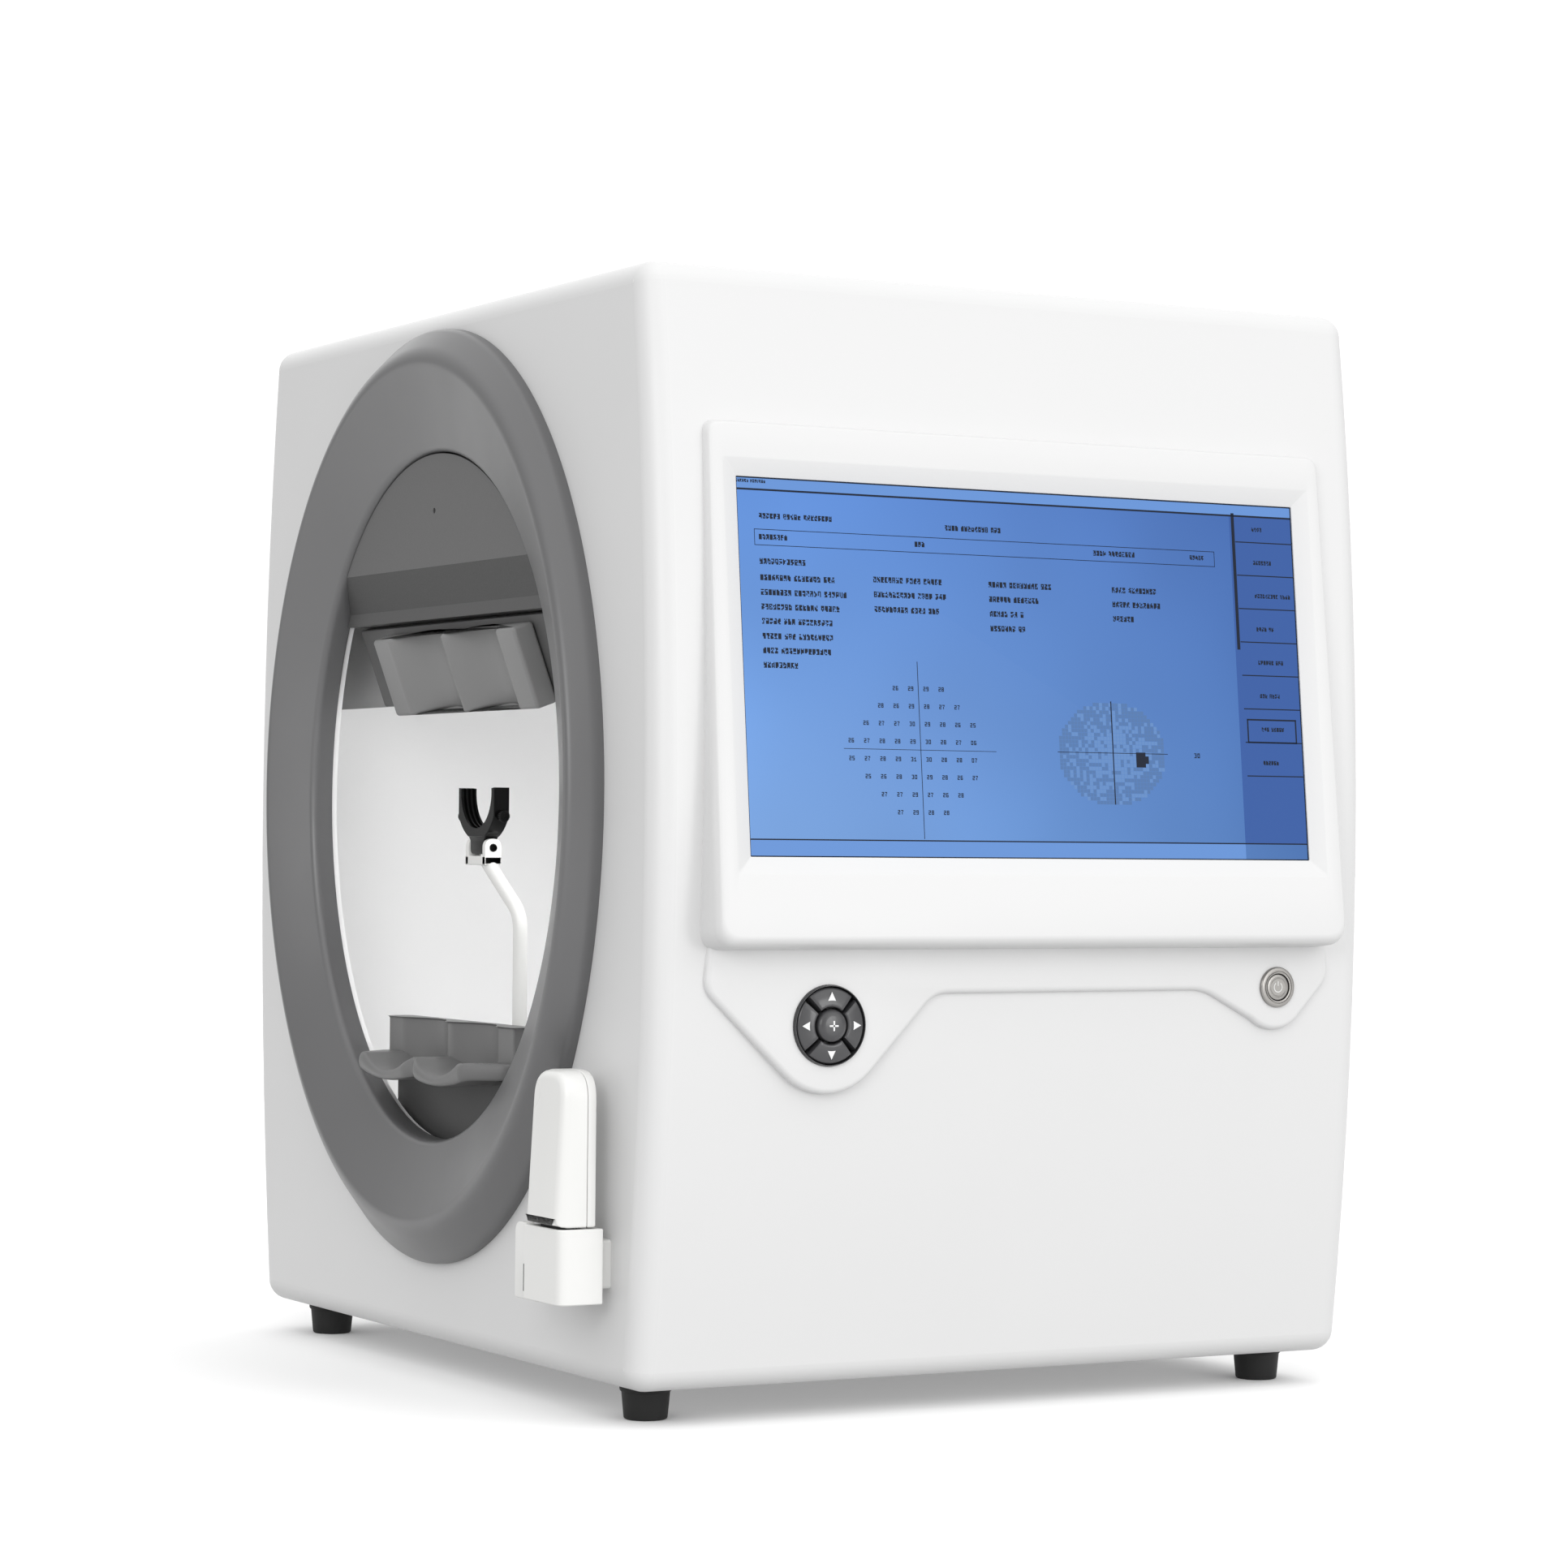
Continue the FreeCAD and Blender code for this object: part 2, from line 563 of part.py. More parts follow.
def cross_stage():
    """Carriage on two level rails across the cabinet, moved by a second linear motor."""
    gap = s.running_gap
    rails = ((-200, 19), (-173, 19))
    reach = s.rail_half_length
    block = box((-55, 55), (-210, -166), (11, 28))
    bores = [rod("X", s.cross_rail_radius + gap, (-60, 60), y, z) for y, z in rails]
    keep("cross_carriage", cut(block, *bores))
    keep("cross_rails", group(*[rod("X", s.cross_rail_radius, (-reach, reach), y, z) for y, z in rails]))
    blocks = []
    for x in (-114, 114):
        seats = [rod("X", s.cross_rail_radius, (x - 7, x + 7), y, z) for y, z in rails]
        blocks.append(cut(box((x - 6, x + 6), (-207, -165), (7, 27)), *seats))
    keep("rail_blocks", group(*blocks))
    screw_y = -186.5
    keep("cross_motor", cut(box((72, 100), (-194, -179), (7, 30)), rod("X", 3.0, (71, 101), screw_y, 19)))
    keep("cross_screw", rod("X", 2.5, (55, 98), screw_y, 19))


# ---- trial lens arm ----

def lens_arm():
    bend, end_x, end_z = s.arm_bend_radius, SIZES["arm_end_x"], SIZES["arm_end_z"]
    x, top, low = SIZES["post_x"], SIZES["post_top"], 106.0
    slope = Vector(end_x - x, 0, end_z - top)
    slope.normalize()
    turn = slope.getAngle(Vector(0, 0, 1))
    back = bend.value * math.tan(turn / 2)
    start, end = Vector(x, 0, top - back), Vector(x, 0, top) + slope * back
    middle_angle = turn / 2
    centre = start - Vector(bend.value, 0, 0)
    middle = centre + Vector(bend.value * math.cos(middle_angle), 0, bend.value * math.sin(middle_angle))
    shift = Vector(0, SIZES["arm_y"], 0)
    route = [Part.LineSegment(Vector(x, 0, low) + shift, start + shift),
             Part.Arc(start + shift, middle + shift, end + shift),
             Part.LineSegment(end + shift, Vector(end_x, 0, end_z) + shift)]
    spine = doc.addObject("Part::Feature", "ArmRoute")
    spine.Shape = Part.Wire([piece.toShape() for piece in route])
    ring = doc.addObject("Part::Circle", "ArmSection")
    tie(ring, "Radius", s.arm_radius)
    put(ring, s.post_x, s.arm_y, low)
    tube = doc.addObject("Part::Sweep", "ArmTube")
    tube.Sections = [ring]
    tube.Spine = (spine, ["Edge1", "Edge2", "Edge3"])
    tube.Solid = True
    tube.Frenet = False
    keep("lens_arm", cut(tube, box((-30, 30), (-200, -180), (263.9, 300))))
    ear = s.ear_radius
    y, pin = s.arm_y, s.pin_z
    cheeks = [fuse(rod("X", ear, (x0, x0 + 4), y, pin), box((x0, x0 + 4), (y - ear, y + ear), (263.9, pin)))
              for x0 in (-13, 9)]
    foot = box((-13, 13), (y - ear, y + ear), (263.9, 268.9))
    keep("lens_clevis", cut(fuse(foot, *cheeks), rod("X", s.pin_radius, (-14, 14), y, pin)))
    keep("clevis_pin", rod("X", s.pin_radius, (-13.6, 13.6), y, pin))


def lens_holder():
    y, depth, low, top = s.arm_y, s.holder_depth, s.holder_low, s.holder_top
    half = s.holder_half_width
    disc = rod("Y", 27.0, 0, (y - depth * 0.5, y + depth * 0.5), s.lens_centre)
    yoke = common(disc, box((-half, half), (y - 10, y + 10), (low, top)))
    opening = rod("Y", s.lens_radius, 0, (y - 10, y + 10), s.lens_centre)
    grooves = [rod("Y", s.groove_radius, 0, (y + offset - 0.9, y + offset + 0.9), s.lens_centre)
               for offset in (-2.6, 0.0, 2.6)]
    eye = rod("X", 4.0, (-8.7, 8.7), y, s.pin_z)
    tongue = fuse(eye, box((-8.7, 8.7), (y - 4, y + 4), (s.pin_z, low + 1)))
    pin_hole = rod("X", s.pin_radius + s.running_gap, (-14, 14), y, s.pin_z)
    screw_holes = rod("X", 1.5, (-30, 30), y, 291)
    keep("lens_holder", cut(fuse(cut(yoke, opening, *grooves), tongue), pin_hole, screw_holes))
    left = fuse(rod("X", 3.2, (-27.5, -23.5), y, 291), rod("X", 1.5, (-24.0, -21.5), y, 291))
    right = fuse(rod("X", 3.2, (23.5, 27.5), y, 291), rod("X", 1.5, (21.5, 24.0), y, 291))
    keep("holder_screws", group(left, right))


def lens_arm_socket():
    """Boss that stands on the bowl's floor and holds the foot of the arm; its lug is bolted to the floor."""
    floor = s.bowl_floor
    boss = rod("Z", 7.0, s.post_x, s.arm_y, (floor, 132))
    lug = box((s.post_x - 5, s.post_x + 5), (s.arm_y, -163), (floor, floor + 4))
    bore = rod("Z", s.arm_radius + s.running_gap, s.post_x, s.arm_y, (floor + 1.5, 140))
    keep("lens_arm_socket", cut(fuse(boss, lug), bore))


# ---- operator side ----

def fascia():
    """Leaning frame around the screen, bevelled towards the glass and fitted to the barrel side."""
    top_half, low_half = s.fascia_top_half, s.fascia_low_half
    corners = [(-low_half, -s.fascia_down), (low_half, -s.fascia_down), (top_half, s.fascia_up),
               (-top_half, s.fascia_up)]
    body = new_body("Fascia")
    pad(body, outline(body, "YZ_Plane", corners, lift=-40.0), s.fascia_proud + 40)
    thickness = 40 + SIZES["fascia_proud"]
    round_edges(body, 12.0, lambda edge: abs(edge.BoundBox.XLength - thickness) < 0.01)
    round_edges(body, 3.0, at_height(0, SIZES["fascia_proud"]))
    put(body, s.screen_x, 0, s.screen_z, SCREEN)
    half_y, half_z = s.screen_width * 0.5, s.screen_height * 0.5
    bevel = doc.addObject("Part::Wedge", "Bevel")
    for prop, size in (("Xmin", -half_y - s.bevel_width), ("Xmax", half_y + s.bevel_width),
                       ("Zmin", -half_z - s.bevel_width), ("Zmax", half_z + s.bevel_width),
                       ("X2min", -half_y), ("X2max", half_y), ("Z2min", -half_z), ("Z2max", half_z),
                       ("Ymin", -s.fascia_proud), ("Ymax", 0.0)):
        tie(bevel, prop, size)
    put(bevel, s.screen_x, 0, s.screen_z, SCREEN * Rotation(Vector(0, 0, 1), 90))
    window = screen_box((-50.0, 5.0), half_y, half_z)
    seat = screen_box((-60.0, -1.0), half_y + 4.2, half_z + 4.2)
    keep("operator_fascia", cut(body, outer, bevel, window, seat))
    keep("screen_glass", screen_box((-2.2, -1.0), half_y + 4, half_z + 4))
    keep("lcd_panel", screen_box((-10.0, -2.2), half_y + 4, half_z + 4))
    keep("display_bracket", screen_box((-12.0, -10.0), half_y + 2, half_z + 2))


def control_panel():
    """Raised panel under the fascia, deeper round the keypad and the power button."""
    y1, z1, y2, z2 = s.pad_y, s.pad_z, s.power_y, s.power_z
    corners = [(-187, 222), (-191, 203.5), (y1 - 25, z1 - 25, 36.0), (y1 + 25, z1 - 25), (-56, 200.5),
               (112, 200.8), (y2 - 15, z2 - 17, 22.0), (y2 + 14, z2 - 18), (194, 206.5), (192, 222)]
    body = slab("YZ_Plane", corners, 15.0, lift=s.panel_face - 15)
    keypad = rod("X", s.pad_bezel_radius, (240, 280), y1, z1)
    power = rod("X", s.power_barrel_radius, (240, 280), y2, z2)
    keep("control_panel", cut(body, outer, keypad, power))


def keypad():
    face = s.panel_face
    bezel = cut(rod("X", s.pad_bezel_radius, (s.key_back + 1, face + 2), s.pad_y, s.pad_z),
                rod("X", s.pad_radius + 0.2, (s.key_back, face + 3), s.pad_y, s.pad_z))
    keep("keypad_bezel", bezel)
    board_y = (s.pad_y - 26, s.pad_y + 26)
    board_z = (s.pad_z - 24, s.pad_z + 24)
    keep("keypad_board", box((s.key_back - 3.2, s.key_back - 1.6), board_y, board_z))
    for label, turn in (("key_up", 180), ("key_right", 90), ("key_down", 0), ("key_left", 270)):
        sector = rod("X", s.pad_radius - 0.2, (s.key_back, face + s.key_proud), s.pad_y, s.pad_z,
                     angle=90 - SIZES["key_gap_angle"], spin=turn - 45 + SIZES["key_gap_angle"] / 2)
        keep(label, cut(sector, rod("X", s.centre_key_radius + 0.5, (200, 300), s.pad_y, s.pad_z)))
    button = rod("X", s.centre_key_radius, (s.key_back, face + s.key_proud + 0.6), s.pad_y, s.pad_z)
    keep("key_centre", soften(button, 2.0, at_height(0, SIZES["panel_face"] + SIZES["key_proud"] + 0.6)))


def power_button():
    face, y, z = s.panel_face, s.power_y, s.power_z
    flange = rod("X", s.power_bezel_radius, (face, face + 2), y, z)
    barrel_part = rod("X", s.power_barrel_radius, (240, face), y, z)
    well = rod("X", s.power_cap_radius + 0.3, (face - 6, face + 3), y, z)
    soft = soften(flange, 0.8, at_height(0, SIZES["panel_face"] + 2))
    keep("power_button_body", cut(fuse(soft, barrel_part), well))
    keep("power_button_cap", rod("X", s.power_cap_radius, (face - 3.5, face + 1.6), y, z))
    nut = doc.addObject("Part::Prism", "Nut")
    nut.Polygon = 6
    nut.Circumradius = 13.5
    nut.Height = 4.0
    put(nut, 253.8, y, z, ALONG["X"])
    keep("power_button_nut", cut(nut, rod("X", s.power_barrel_radius, (250, 260), y, z)))


# ---- response handset ----

def arch(x, half, low, top, radius):
    """Upright outline with two rounded shoulders."""
    return [(x - half, low), (x + half, low), (x + half, top - radius, radius), (x + half - radius, top),
            (x - half + radius, top, radius), (x - half, top - radius)]


def handset():
    x, half, radius = s.handset_x, s.handset_half_width, s.handset_round
    low, top = s.handset_low, s.handset_top
    split, front, back = s.handset_split, s.handset_front, s.handset_back
    neck = s.button_half_width
    solid = slab("XZ_Plane", arch(x, half, low, top, radius), split - front, lift=-split)
    inside = arch(x, half - 2, low + 2, top - 2, radius - 2)
    hollow = slab("XZ_Plane", inside, split - front - 2, lift=-split - 0.01)
    mouth = box((x - neck - 0.4, x + neck + 0.4), (-246.4, -237.6), (low - 1, low + 3))
    keep("handset_front_shell", cut(soften(solid, 2.0, at_height(1, SIZES["handset_front"])), hollow, mouth))
    plate = slab("XZ_Plane", arch(x, half, low, top, radius), back - split, lift=-back)
    tongue = box((x - 10, x + 10), (split, back - 1), (49, low + 2))
    keep("handset_back_shell", fuse(plate, tongue))
    stem = box((x - neck, x + neck), (-246, -238), (s.button_low, low + 8))
    keep("response_button", soften(stem, 3.0, lambda edge: edge.BoundBox.ZLength > 30))


def handset_holder():
    x = s.handset_x
    block = box((x - 20.5, x + 20.5), (-252, -227), (44, 82.4))
    pocket = cut(block, box((x - 18, x + 18), (-249.5, -229.5), (47, 90)))
    boss = box((x - 13, x + 13), (-227, FRONT), (51, 76))
    wing = box((x - 33, x - 20.5), (-251, -246), (44, 83))
    slit = box((x - 21.5, x - 19.5), (-253, -240), (48, 62))
    keep("handset_holder", cut(fuse(pocket, boss, wing), slit))


# ---- equipment behind the bowl ----

def optics():
    eye = s.eye_height
    keep("stimulus_projector", box((-45, 45), (70, 190), (425, 520)))
    keep("projector_lens", cut(rod("Y", 14.0, 0, (45, 70), 450), rod("Y", 10.0, 0, (44, 50), 450)))
    camera = box((-16, 16), (112, 140), (eye - 16, eye + 16))
    keep("fixation_camera", fuse(camera, rod("Y", 7.0, 0, (90, 112), eye)))
    camera_mast = box((-14, 14), (140, 143), (7, eye + 16))
    projector_mast = box((-30, 30), (190, 193), (7, 520))
    foot = box((-30, 30), (120, 193), (7, 10))
    board_wall = box((-200, -60), (151.6, 153.6), (7, 300))
    board_foot = box((-200, -30), (151.6, 175), (7, 10))
    keep("equipment_stand", fuse(camera_mast, projector_mast, foot, board_wall, board_foot))


def electronics():
    board = box((-200, -60), (150, 151.6), (100, 300))
    chips = [box((x, x + width), (141, 150), (z, z + height))
             for x, width, z, height in ((-190, 36, 120, 36), (-130, 24, 200, 60), (-180, 50, 240, 20))]
    keep("main_board", fuse(board, *chips))
    keep("power_supply", box((40, 200), (110, 200), (7, 55)))
    frame_block = box((-165, -85), (BACK - 26, BACK - 0.2), (390, 470))
    keep("fan_frame", cut(frame_block, rod("Y", 37.0, -125, (BACK - 27, BACK + 1), 430)))
    hub = rod("Y", 14.0, -125, (BACK - 24, BACK - 3), 430)
    blades = []
    for n in range(7):
        turn = Rotation(Vector(0, 1, 0), 360.0 / 7 * n)
        corner = turn.multVec(Vector(12, 0, -1))
        blade = box((12, 35), (BACK - 21, BACK - 6), (-1, 1))
        blades.append(put(blade, -125 + corner.x, BACK - 21, 430 + corner.z, turn))
    keep("fan_rotor", fuse(hub, *blades))
    inlet = box((120.2, 148.2), (195, BACK + 4), (80.2, 100.2))
    keep("mains_inlet", cut(inlet, box((123, 145.4), (203, BACK + 5), (83, 97.4))))
    sockets = [box((x, x + 14.0), (206, BACK + 4), (86, 96)) for x in (24, 43, 62)]
    keep("port_block", cut(box((20.2, 80.2), (198, BACK + 3), (84.2, 98.2)), *sockets))


# ---- build, check and write ----

for make in (cabinet_shell, covers, base_and_feet, opening_ring, bowl, hood, forehead_rest, chin_rest,
             lift_stage, cross_stage, lens_arm, lens_holder, lens_arm_socket, fascia, control_panel, keypad,
             power_button, handset, handset_holder, optics, electronics):
    make()

doc.recompute()
for item in doc.Objects:
    if {"Invalid", "Error"} & set(item.State):
        raise RuntimeError(f"{item.Label} failed to recompute")
for item in subparts:
    if item.Shape.isNull() or not item.Shape.isValid() or item.Shape.Volume < 1.0:
        raise RuntimeError(f"{item.Label} has no valid shape")

os.makedirs("parts", exist_ok=True)
for item in subparts:
    item.Shape.exportStep(f"parts/{item.Label}.step")

whole = Part.makeCompound([item.Shape for item in subparts]).BoundBox
print(f"{len(subparts)} sub-parts, {whole.XLength:.1f} x {whole.YLength:.1f} x {whole.ZLength:.1f} mm, "
      f"centre {whole.Center.x:.2f} {whole.Center.y:.2f}, base {whole.ZMin:.2f}")
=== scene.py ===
import bmesh
import bpy
import numpy as np
from mathutils import Matrix, Vector
from mathutils.geometry import tessellate_polygon


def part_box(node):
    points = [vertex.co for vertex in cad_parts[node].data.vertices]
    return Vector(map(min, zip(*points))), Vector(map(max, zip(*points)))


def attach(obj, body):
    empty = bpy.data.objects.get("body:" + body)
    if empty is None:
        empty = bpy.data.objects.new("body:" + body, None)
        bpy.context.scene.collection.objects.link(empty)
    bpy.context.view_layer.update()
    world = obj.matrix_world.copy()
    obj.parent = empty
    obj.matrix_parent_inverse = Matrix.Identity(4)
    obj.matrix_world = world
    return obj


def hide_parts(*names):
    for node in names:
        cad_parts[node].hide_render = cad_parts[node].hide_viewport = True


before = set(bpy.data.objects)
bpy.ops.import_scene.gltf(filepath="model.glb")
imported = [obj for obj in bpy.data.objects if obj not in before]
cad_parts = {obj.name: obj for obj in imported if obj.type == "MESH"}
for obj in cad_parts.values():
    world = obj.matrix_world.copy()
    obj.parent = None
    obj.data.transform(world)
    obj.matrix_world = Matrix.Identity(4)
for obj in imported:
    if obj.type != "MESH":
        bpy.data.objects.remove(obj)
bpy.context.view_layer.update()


# ---- Studio ----
# A pale table top under a large soft box on each open side, with two round lamps that catch the edges and a
# small one in the bowl. The camera stands a little below the cabinet's middle, 2.4 m away, on a long lens.

def linear(code):
    """sRGB hex to linear RGB: c/12.92 up to 0.04045, else ((c + 0.055) / 1.055) to the power 2.4."""
    part = np.array([int(code[n:n + 2], 16) / 255 for n in (0, 2, 4)])
    tone = np.where(part <= 0.04045, part / 12.92, ((part + 0.055) / 1.055) ** 2.4)
    return (*tone.tolist(), 1.0)


def add(tree, kind, settings=None, **links):
    """Adds one shader node. settings holds its properties and socket values by name; each link feeds the
    socket of that name (underscores stand for spaces) from another node's output."""
    made = tree.nodes.new(kind)
    for name, setting in (settings or {}).items():
        if isinstance(name, int) or name in made.inputs:
            made.inputs[name].default_value = setting
        else:
            setattr(made, name, setting)
    for name, source in links.items():
        place = int(name[1:]) if name[0] == "n" and name[1:].isdigit() else name.replace("_", " ")
        tree.links.new(source, made.inputs[place])
    return made


def new_material(name):
    """An empty material and its node tree."""
    made = bpy.data.materials.new(name)
    made.use_nodes = True
    made.node_tree.nodes.clear()
    return made, made.node_tree


def surface(tree, settings, **links):
    """Ends a material: one Principled shader with its own constants and links, joined to the output."""
    shader = add(tree, "ShaderNodeBsdfPrincipled", settings, **links)
    add(tree, "ShaderNodeOutputMaterial", Surface=shader.outputs["BSDF"])


cabinet_low, cabinet_high = (np.array(corner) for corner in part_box("cabinet_shell"))
underside_centre = np.array([*(cabinet_low + cabinet_high)[:2] / 2, cabinet_low[2]])


def placed(points):
    """Millimetres from the centre of the cabinet's underside to metres in the object's frame."""
    return np.asarray(points, float) / 1000 + underside_centre


def aim(thing, place, towards, roll=0.0):
    """Stands a lamp or camera at place, looking along its own -Z at towards, turned by roll about that
    line."""
    line = Vector(np.asarray(towards) - np.asarray(place)).normalized()
    across = line.cross(Vector((0, 0, 1))).normalized()
    rise = across.cross(line)
    side = across * np.cos(roll) + rise * np.sin(roll)
    over = rise * np.cos(roll) - across * np.sin(roll)
    thing.matrix_world = Matrix.Translation(place) @ Matrix((side, over, -line)).transposed().to_4x4()


camera = bpy.data.objects.new("camera", bpy.data.cameras.new("camera"))
camera.data.lens = 95.6
camera.data.sensor_width = 36.0
camera.data.clip_end = 60.0
bpy.context.scene.collection.objects.link(camera)
turn, tilt = np.radians(60.98), np.radians(-0.78)
away = np.array([np.sin(turn) * np.cos(tilt), -np.cos(turn) * np.cos(tilt), np.sin(tilt)])
stand = placed([2110.0, -1169.4, 278.9])
aim(camera, stand, stand - away, roll=np.radians(0.516))
bpy.context.scene.camera = camera

for lamp_name, place, towards, size, power in (
        ("soft_box_operator", (2000, 900, 900), (100, 0, 300), 1.6, 5.0),
        ("soft_box_patient", (1500, -1500, 800), (0, -100, 250), 0.9, 7.5),
        ("round_lamp_operator", (2110, 709, 340), (208, -230, 302), 0.55, 4.0),
        ("round_lamp_patient", (-700, -2050, 420), (-180, -230, 300), 0.45, 1.6),
        ("bowl_lamp", (120, -120, 330), (-120, -60, 220), 0.12, 0.3)):
    lamp = bpy.data.objects.new(lamp_name, bpy.data.lights.new(lamp_name, "AREA"))
    lamp.data.shape = "DISK"
    lamp.data.size = size
    lamp.data.energy = power
    lamp.visible_camera = False
    lamp.visible_glossy = lamp_name != "bowl_lamp"
    bpy.context.scene.collection.objects.link(lamp)
    aim(lamp, placed(place), placed(towards))

# a white studio: brightest overhead and behind the object, softer from the operator's side, dim in front
sky = bpy.data.worlds.new("studio")
sky.use_nodes = True
tree = sky.node_tree
heading = add(tree, "ShaderNodeTexCoord").outputs["Generated"]
glow = None
for direction, first, last, gain in (((0, 0, 1), 0.0, 1.0, 0.95), ((1, 0, 0), 0.0, 1.0, 0.5),
                                     ((-0.875, 0.485, 0), 0.55, 0.92, 0.62)):
    facing = add(tree, "ShaderNodeVectorMath", {"operation": "DOT_PRODUCT", 1: direction}, n0=heading)
    share = add(tree, "ShaderNodeMapRange", {"From Min": first, "From Max": last, "To Max": gain},
                Value=facing.outputs["Value"])
    settings = {"operation": "ADD"} if glow else {"operation": "ADD", 1: 0.42}
    total = {"n0": share.outputs["Result"], **({"n1": glow} if glow else {})}
    glow = add(tree, "ShaderNodeMath", settings, **total).outputs["Value"]
tree.links.new(glow, tree.nodes["Background"].inputs["Strength"])
tree.nodes["Background"].inputs["Color"].default_value = (1, 1, 1, 1)
bpy.context.scene.world = sky
bpy.context.scene.view_settings.view_transform = "Standard"

table, tree = new_material("matt_white_laminate")
speck = add(tree, "ShaderNodeTexNoise", {"Scale": 900.0, "Detail": 2.0},
            Vector=add(tree, "ShaderNodeTexCoord").outputs["Object"])
rough = add(tree, "ShaderNodeMapRange", {"To Min": 0.55, "To Max": 0.65}, Value=speck.outputs["Fac"])
surface(tree, {"Base Color": linear("FDFDFD"), "Specular IOR Level": 0.0}, Roughness=rough.outputs["Result"])
floor_mesh = bpy.data.meshes.new("table_top")
reach = 30.0
floor_mesh.from_pydata([(-reach, -reach, 0), (reach, -reach, 0), (reach, reach, 0), (-reach, reach, 0)], [],
                       [(0, 1, 2, 3)])
floor_mesh.materials.append(table)
floor = bpy.data.objects.new("table_top", floor_mesh)
floor.visible_diffuse = False
bpy.context.scene.collection.objects.link(floor)


# ---- Cabinet ----
# A barrel-sided box of 4 mm ABS, moulded and then painted satin white, standing on four feet. The
# service cover and the vented rear cover are the same white; six pan-head screws hold the rear one.

def satin_paint(name, code, roughness=0.42, grain_mm=0.7, depth=0.012, specular=0.45):
    """Painted or fine-textured moulding: a grain in mm gives a faint bump, and a slow cloud of 90 mm
    varies the gloss the way hand-sprayed paint does."""
    made, tree = new_material(name)
    where = add(tree, "ShaderNodeTexCoord").outputs["Object"]
    grain = add(tree, "ShaderNodeTexNoise", {"Scale": 1000 / grain_mm, "Detail": 3.0, "Roughness": 0.6},
                Vector=where)
    cloud = add(tree, "ShaderNodeTexNoise", {"Scale": 11.0, "Detail": 3.0}, Vector=where)
    gloss = add(tree, "ShaderNodeMapRange", {"From Min": 0.3, "From Max": 0.7, "To Min": roughness - 0.05,
                                             "To Max": roughness + 0.06}, Value=cloud.outputs["Fac"])
    shade = np.array(linear(code))
    tint = add(tree, "ShaderNodeMix", {"data_type": "RGBA", 6: tuple(shade * [0.975, 0.975, 0.975, 1]),
                                       7: tuple(shade)}, Factor=cloud.outputs["Fac"])
    bump = add(tree, "ShaderNodeBump", {"Strength": 1.0, "Distance": depth / 1000},
               Height=grain.outputs["Fac"])
    surface(tree, {"IOR": 1.5, "Specular IOR Level": specular}, Base_Color=tint.outputs[2],
            Roughness=gloss.outputs["Result"], Normal=bump.outputs["Normal"])
    return made


def finish(material, *names):
    """Gives CAD nodes their material."""
    for name in names:
        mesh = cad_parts[name].data
        mesh.materials.clear()
        mesh.materials.append(material)


cabinet_white = satin_paint("satin_white_painted_abs", "DADADA")
finish(cabinet_white, "cabinet_shell", "service_cover", "rear_cover")


# ---- Opening ring ----
# One large moulding in mid-grey ABS around the patient's opening: a steep outer side, a soft ridge, a wide
# inner slope and a rolled lip that turns back into the cabinet's front wall.

def round_path(corners, reach, steps=5, closed=True):
    """Each corner P becomes the curve (1-t)^2 A + 2t(1-t) P + t^2 B, where A and B lie reach (mm) before
    and after P on its two runs. corners has any number of columns. An open path keeps its two ends, and
    points that fall together are kept once."""
    corners = np.asarray(corners, float)
    reach = np.broadcast_to(np.asarray(reach, float), len(corners))[:, None]
    before = np.roll(corners, 1, 0) - corners
    after = np.roll(corners, -1, 0) - corners
    a = corners + before * np.minimum(reach / np.linalg.norm(before, axis=1, keepdims=True), 0.5)
    b = corners + after * np.minimum(reach / np.linalg.norm(after, axis=1, keepdims=True), 0.5)
    t = np.linspace(0, 1, steps + 1)[None, :, None]
    curve = (1 - t) ** 2 * a[:, None] + 2 * t * (1 - t) * corners[:, None] + t ** 2 * b[:, None]
    curve = curve.reshape(-1, corners.shape[1])
    if not closed:
        curve = np.vstack([corners[:1], curve[steps + 1:-steps - 1], corners[-1:]])
    moved = np.linalg.norm(curve - np.roll(curve, 1, 0), axis=1) > 1e-5
    return curve[moved]


def skin(loops, close_rows=False, cap_ends=True):
    """Quads between neighbours of a (rows, points round, 3) array whose rows are closed loops. The rows
    close on themselves too if asked, else the first and last loop are filled."""
    rows, around = loops.shape[:2]
    row = np.arange(rows if close_rows else rows - 1)[:, None]
    spot = np.arange(around)[None]
    there = (row + 1) % rows
    nextto = (spot + 1) % around
    quads = np.stack(np.broadcast_arrays(row * around + spot, row * around + nextto,
                                         there * around + nextto, there * around + spot), -1)
    faces = quads.reshape(-1, 4).tolist()
    if cap_ends and not close_rows:
        faces += [list(range(around)), list(range((rows - 1) * around, rows * around))]
    return loops.reshape(-1, 3), faces


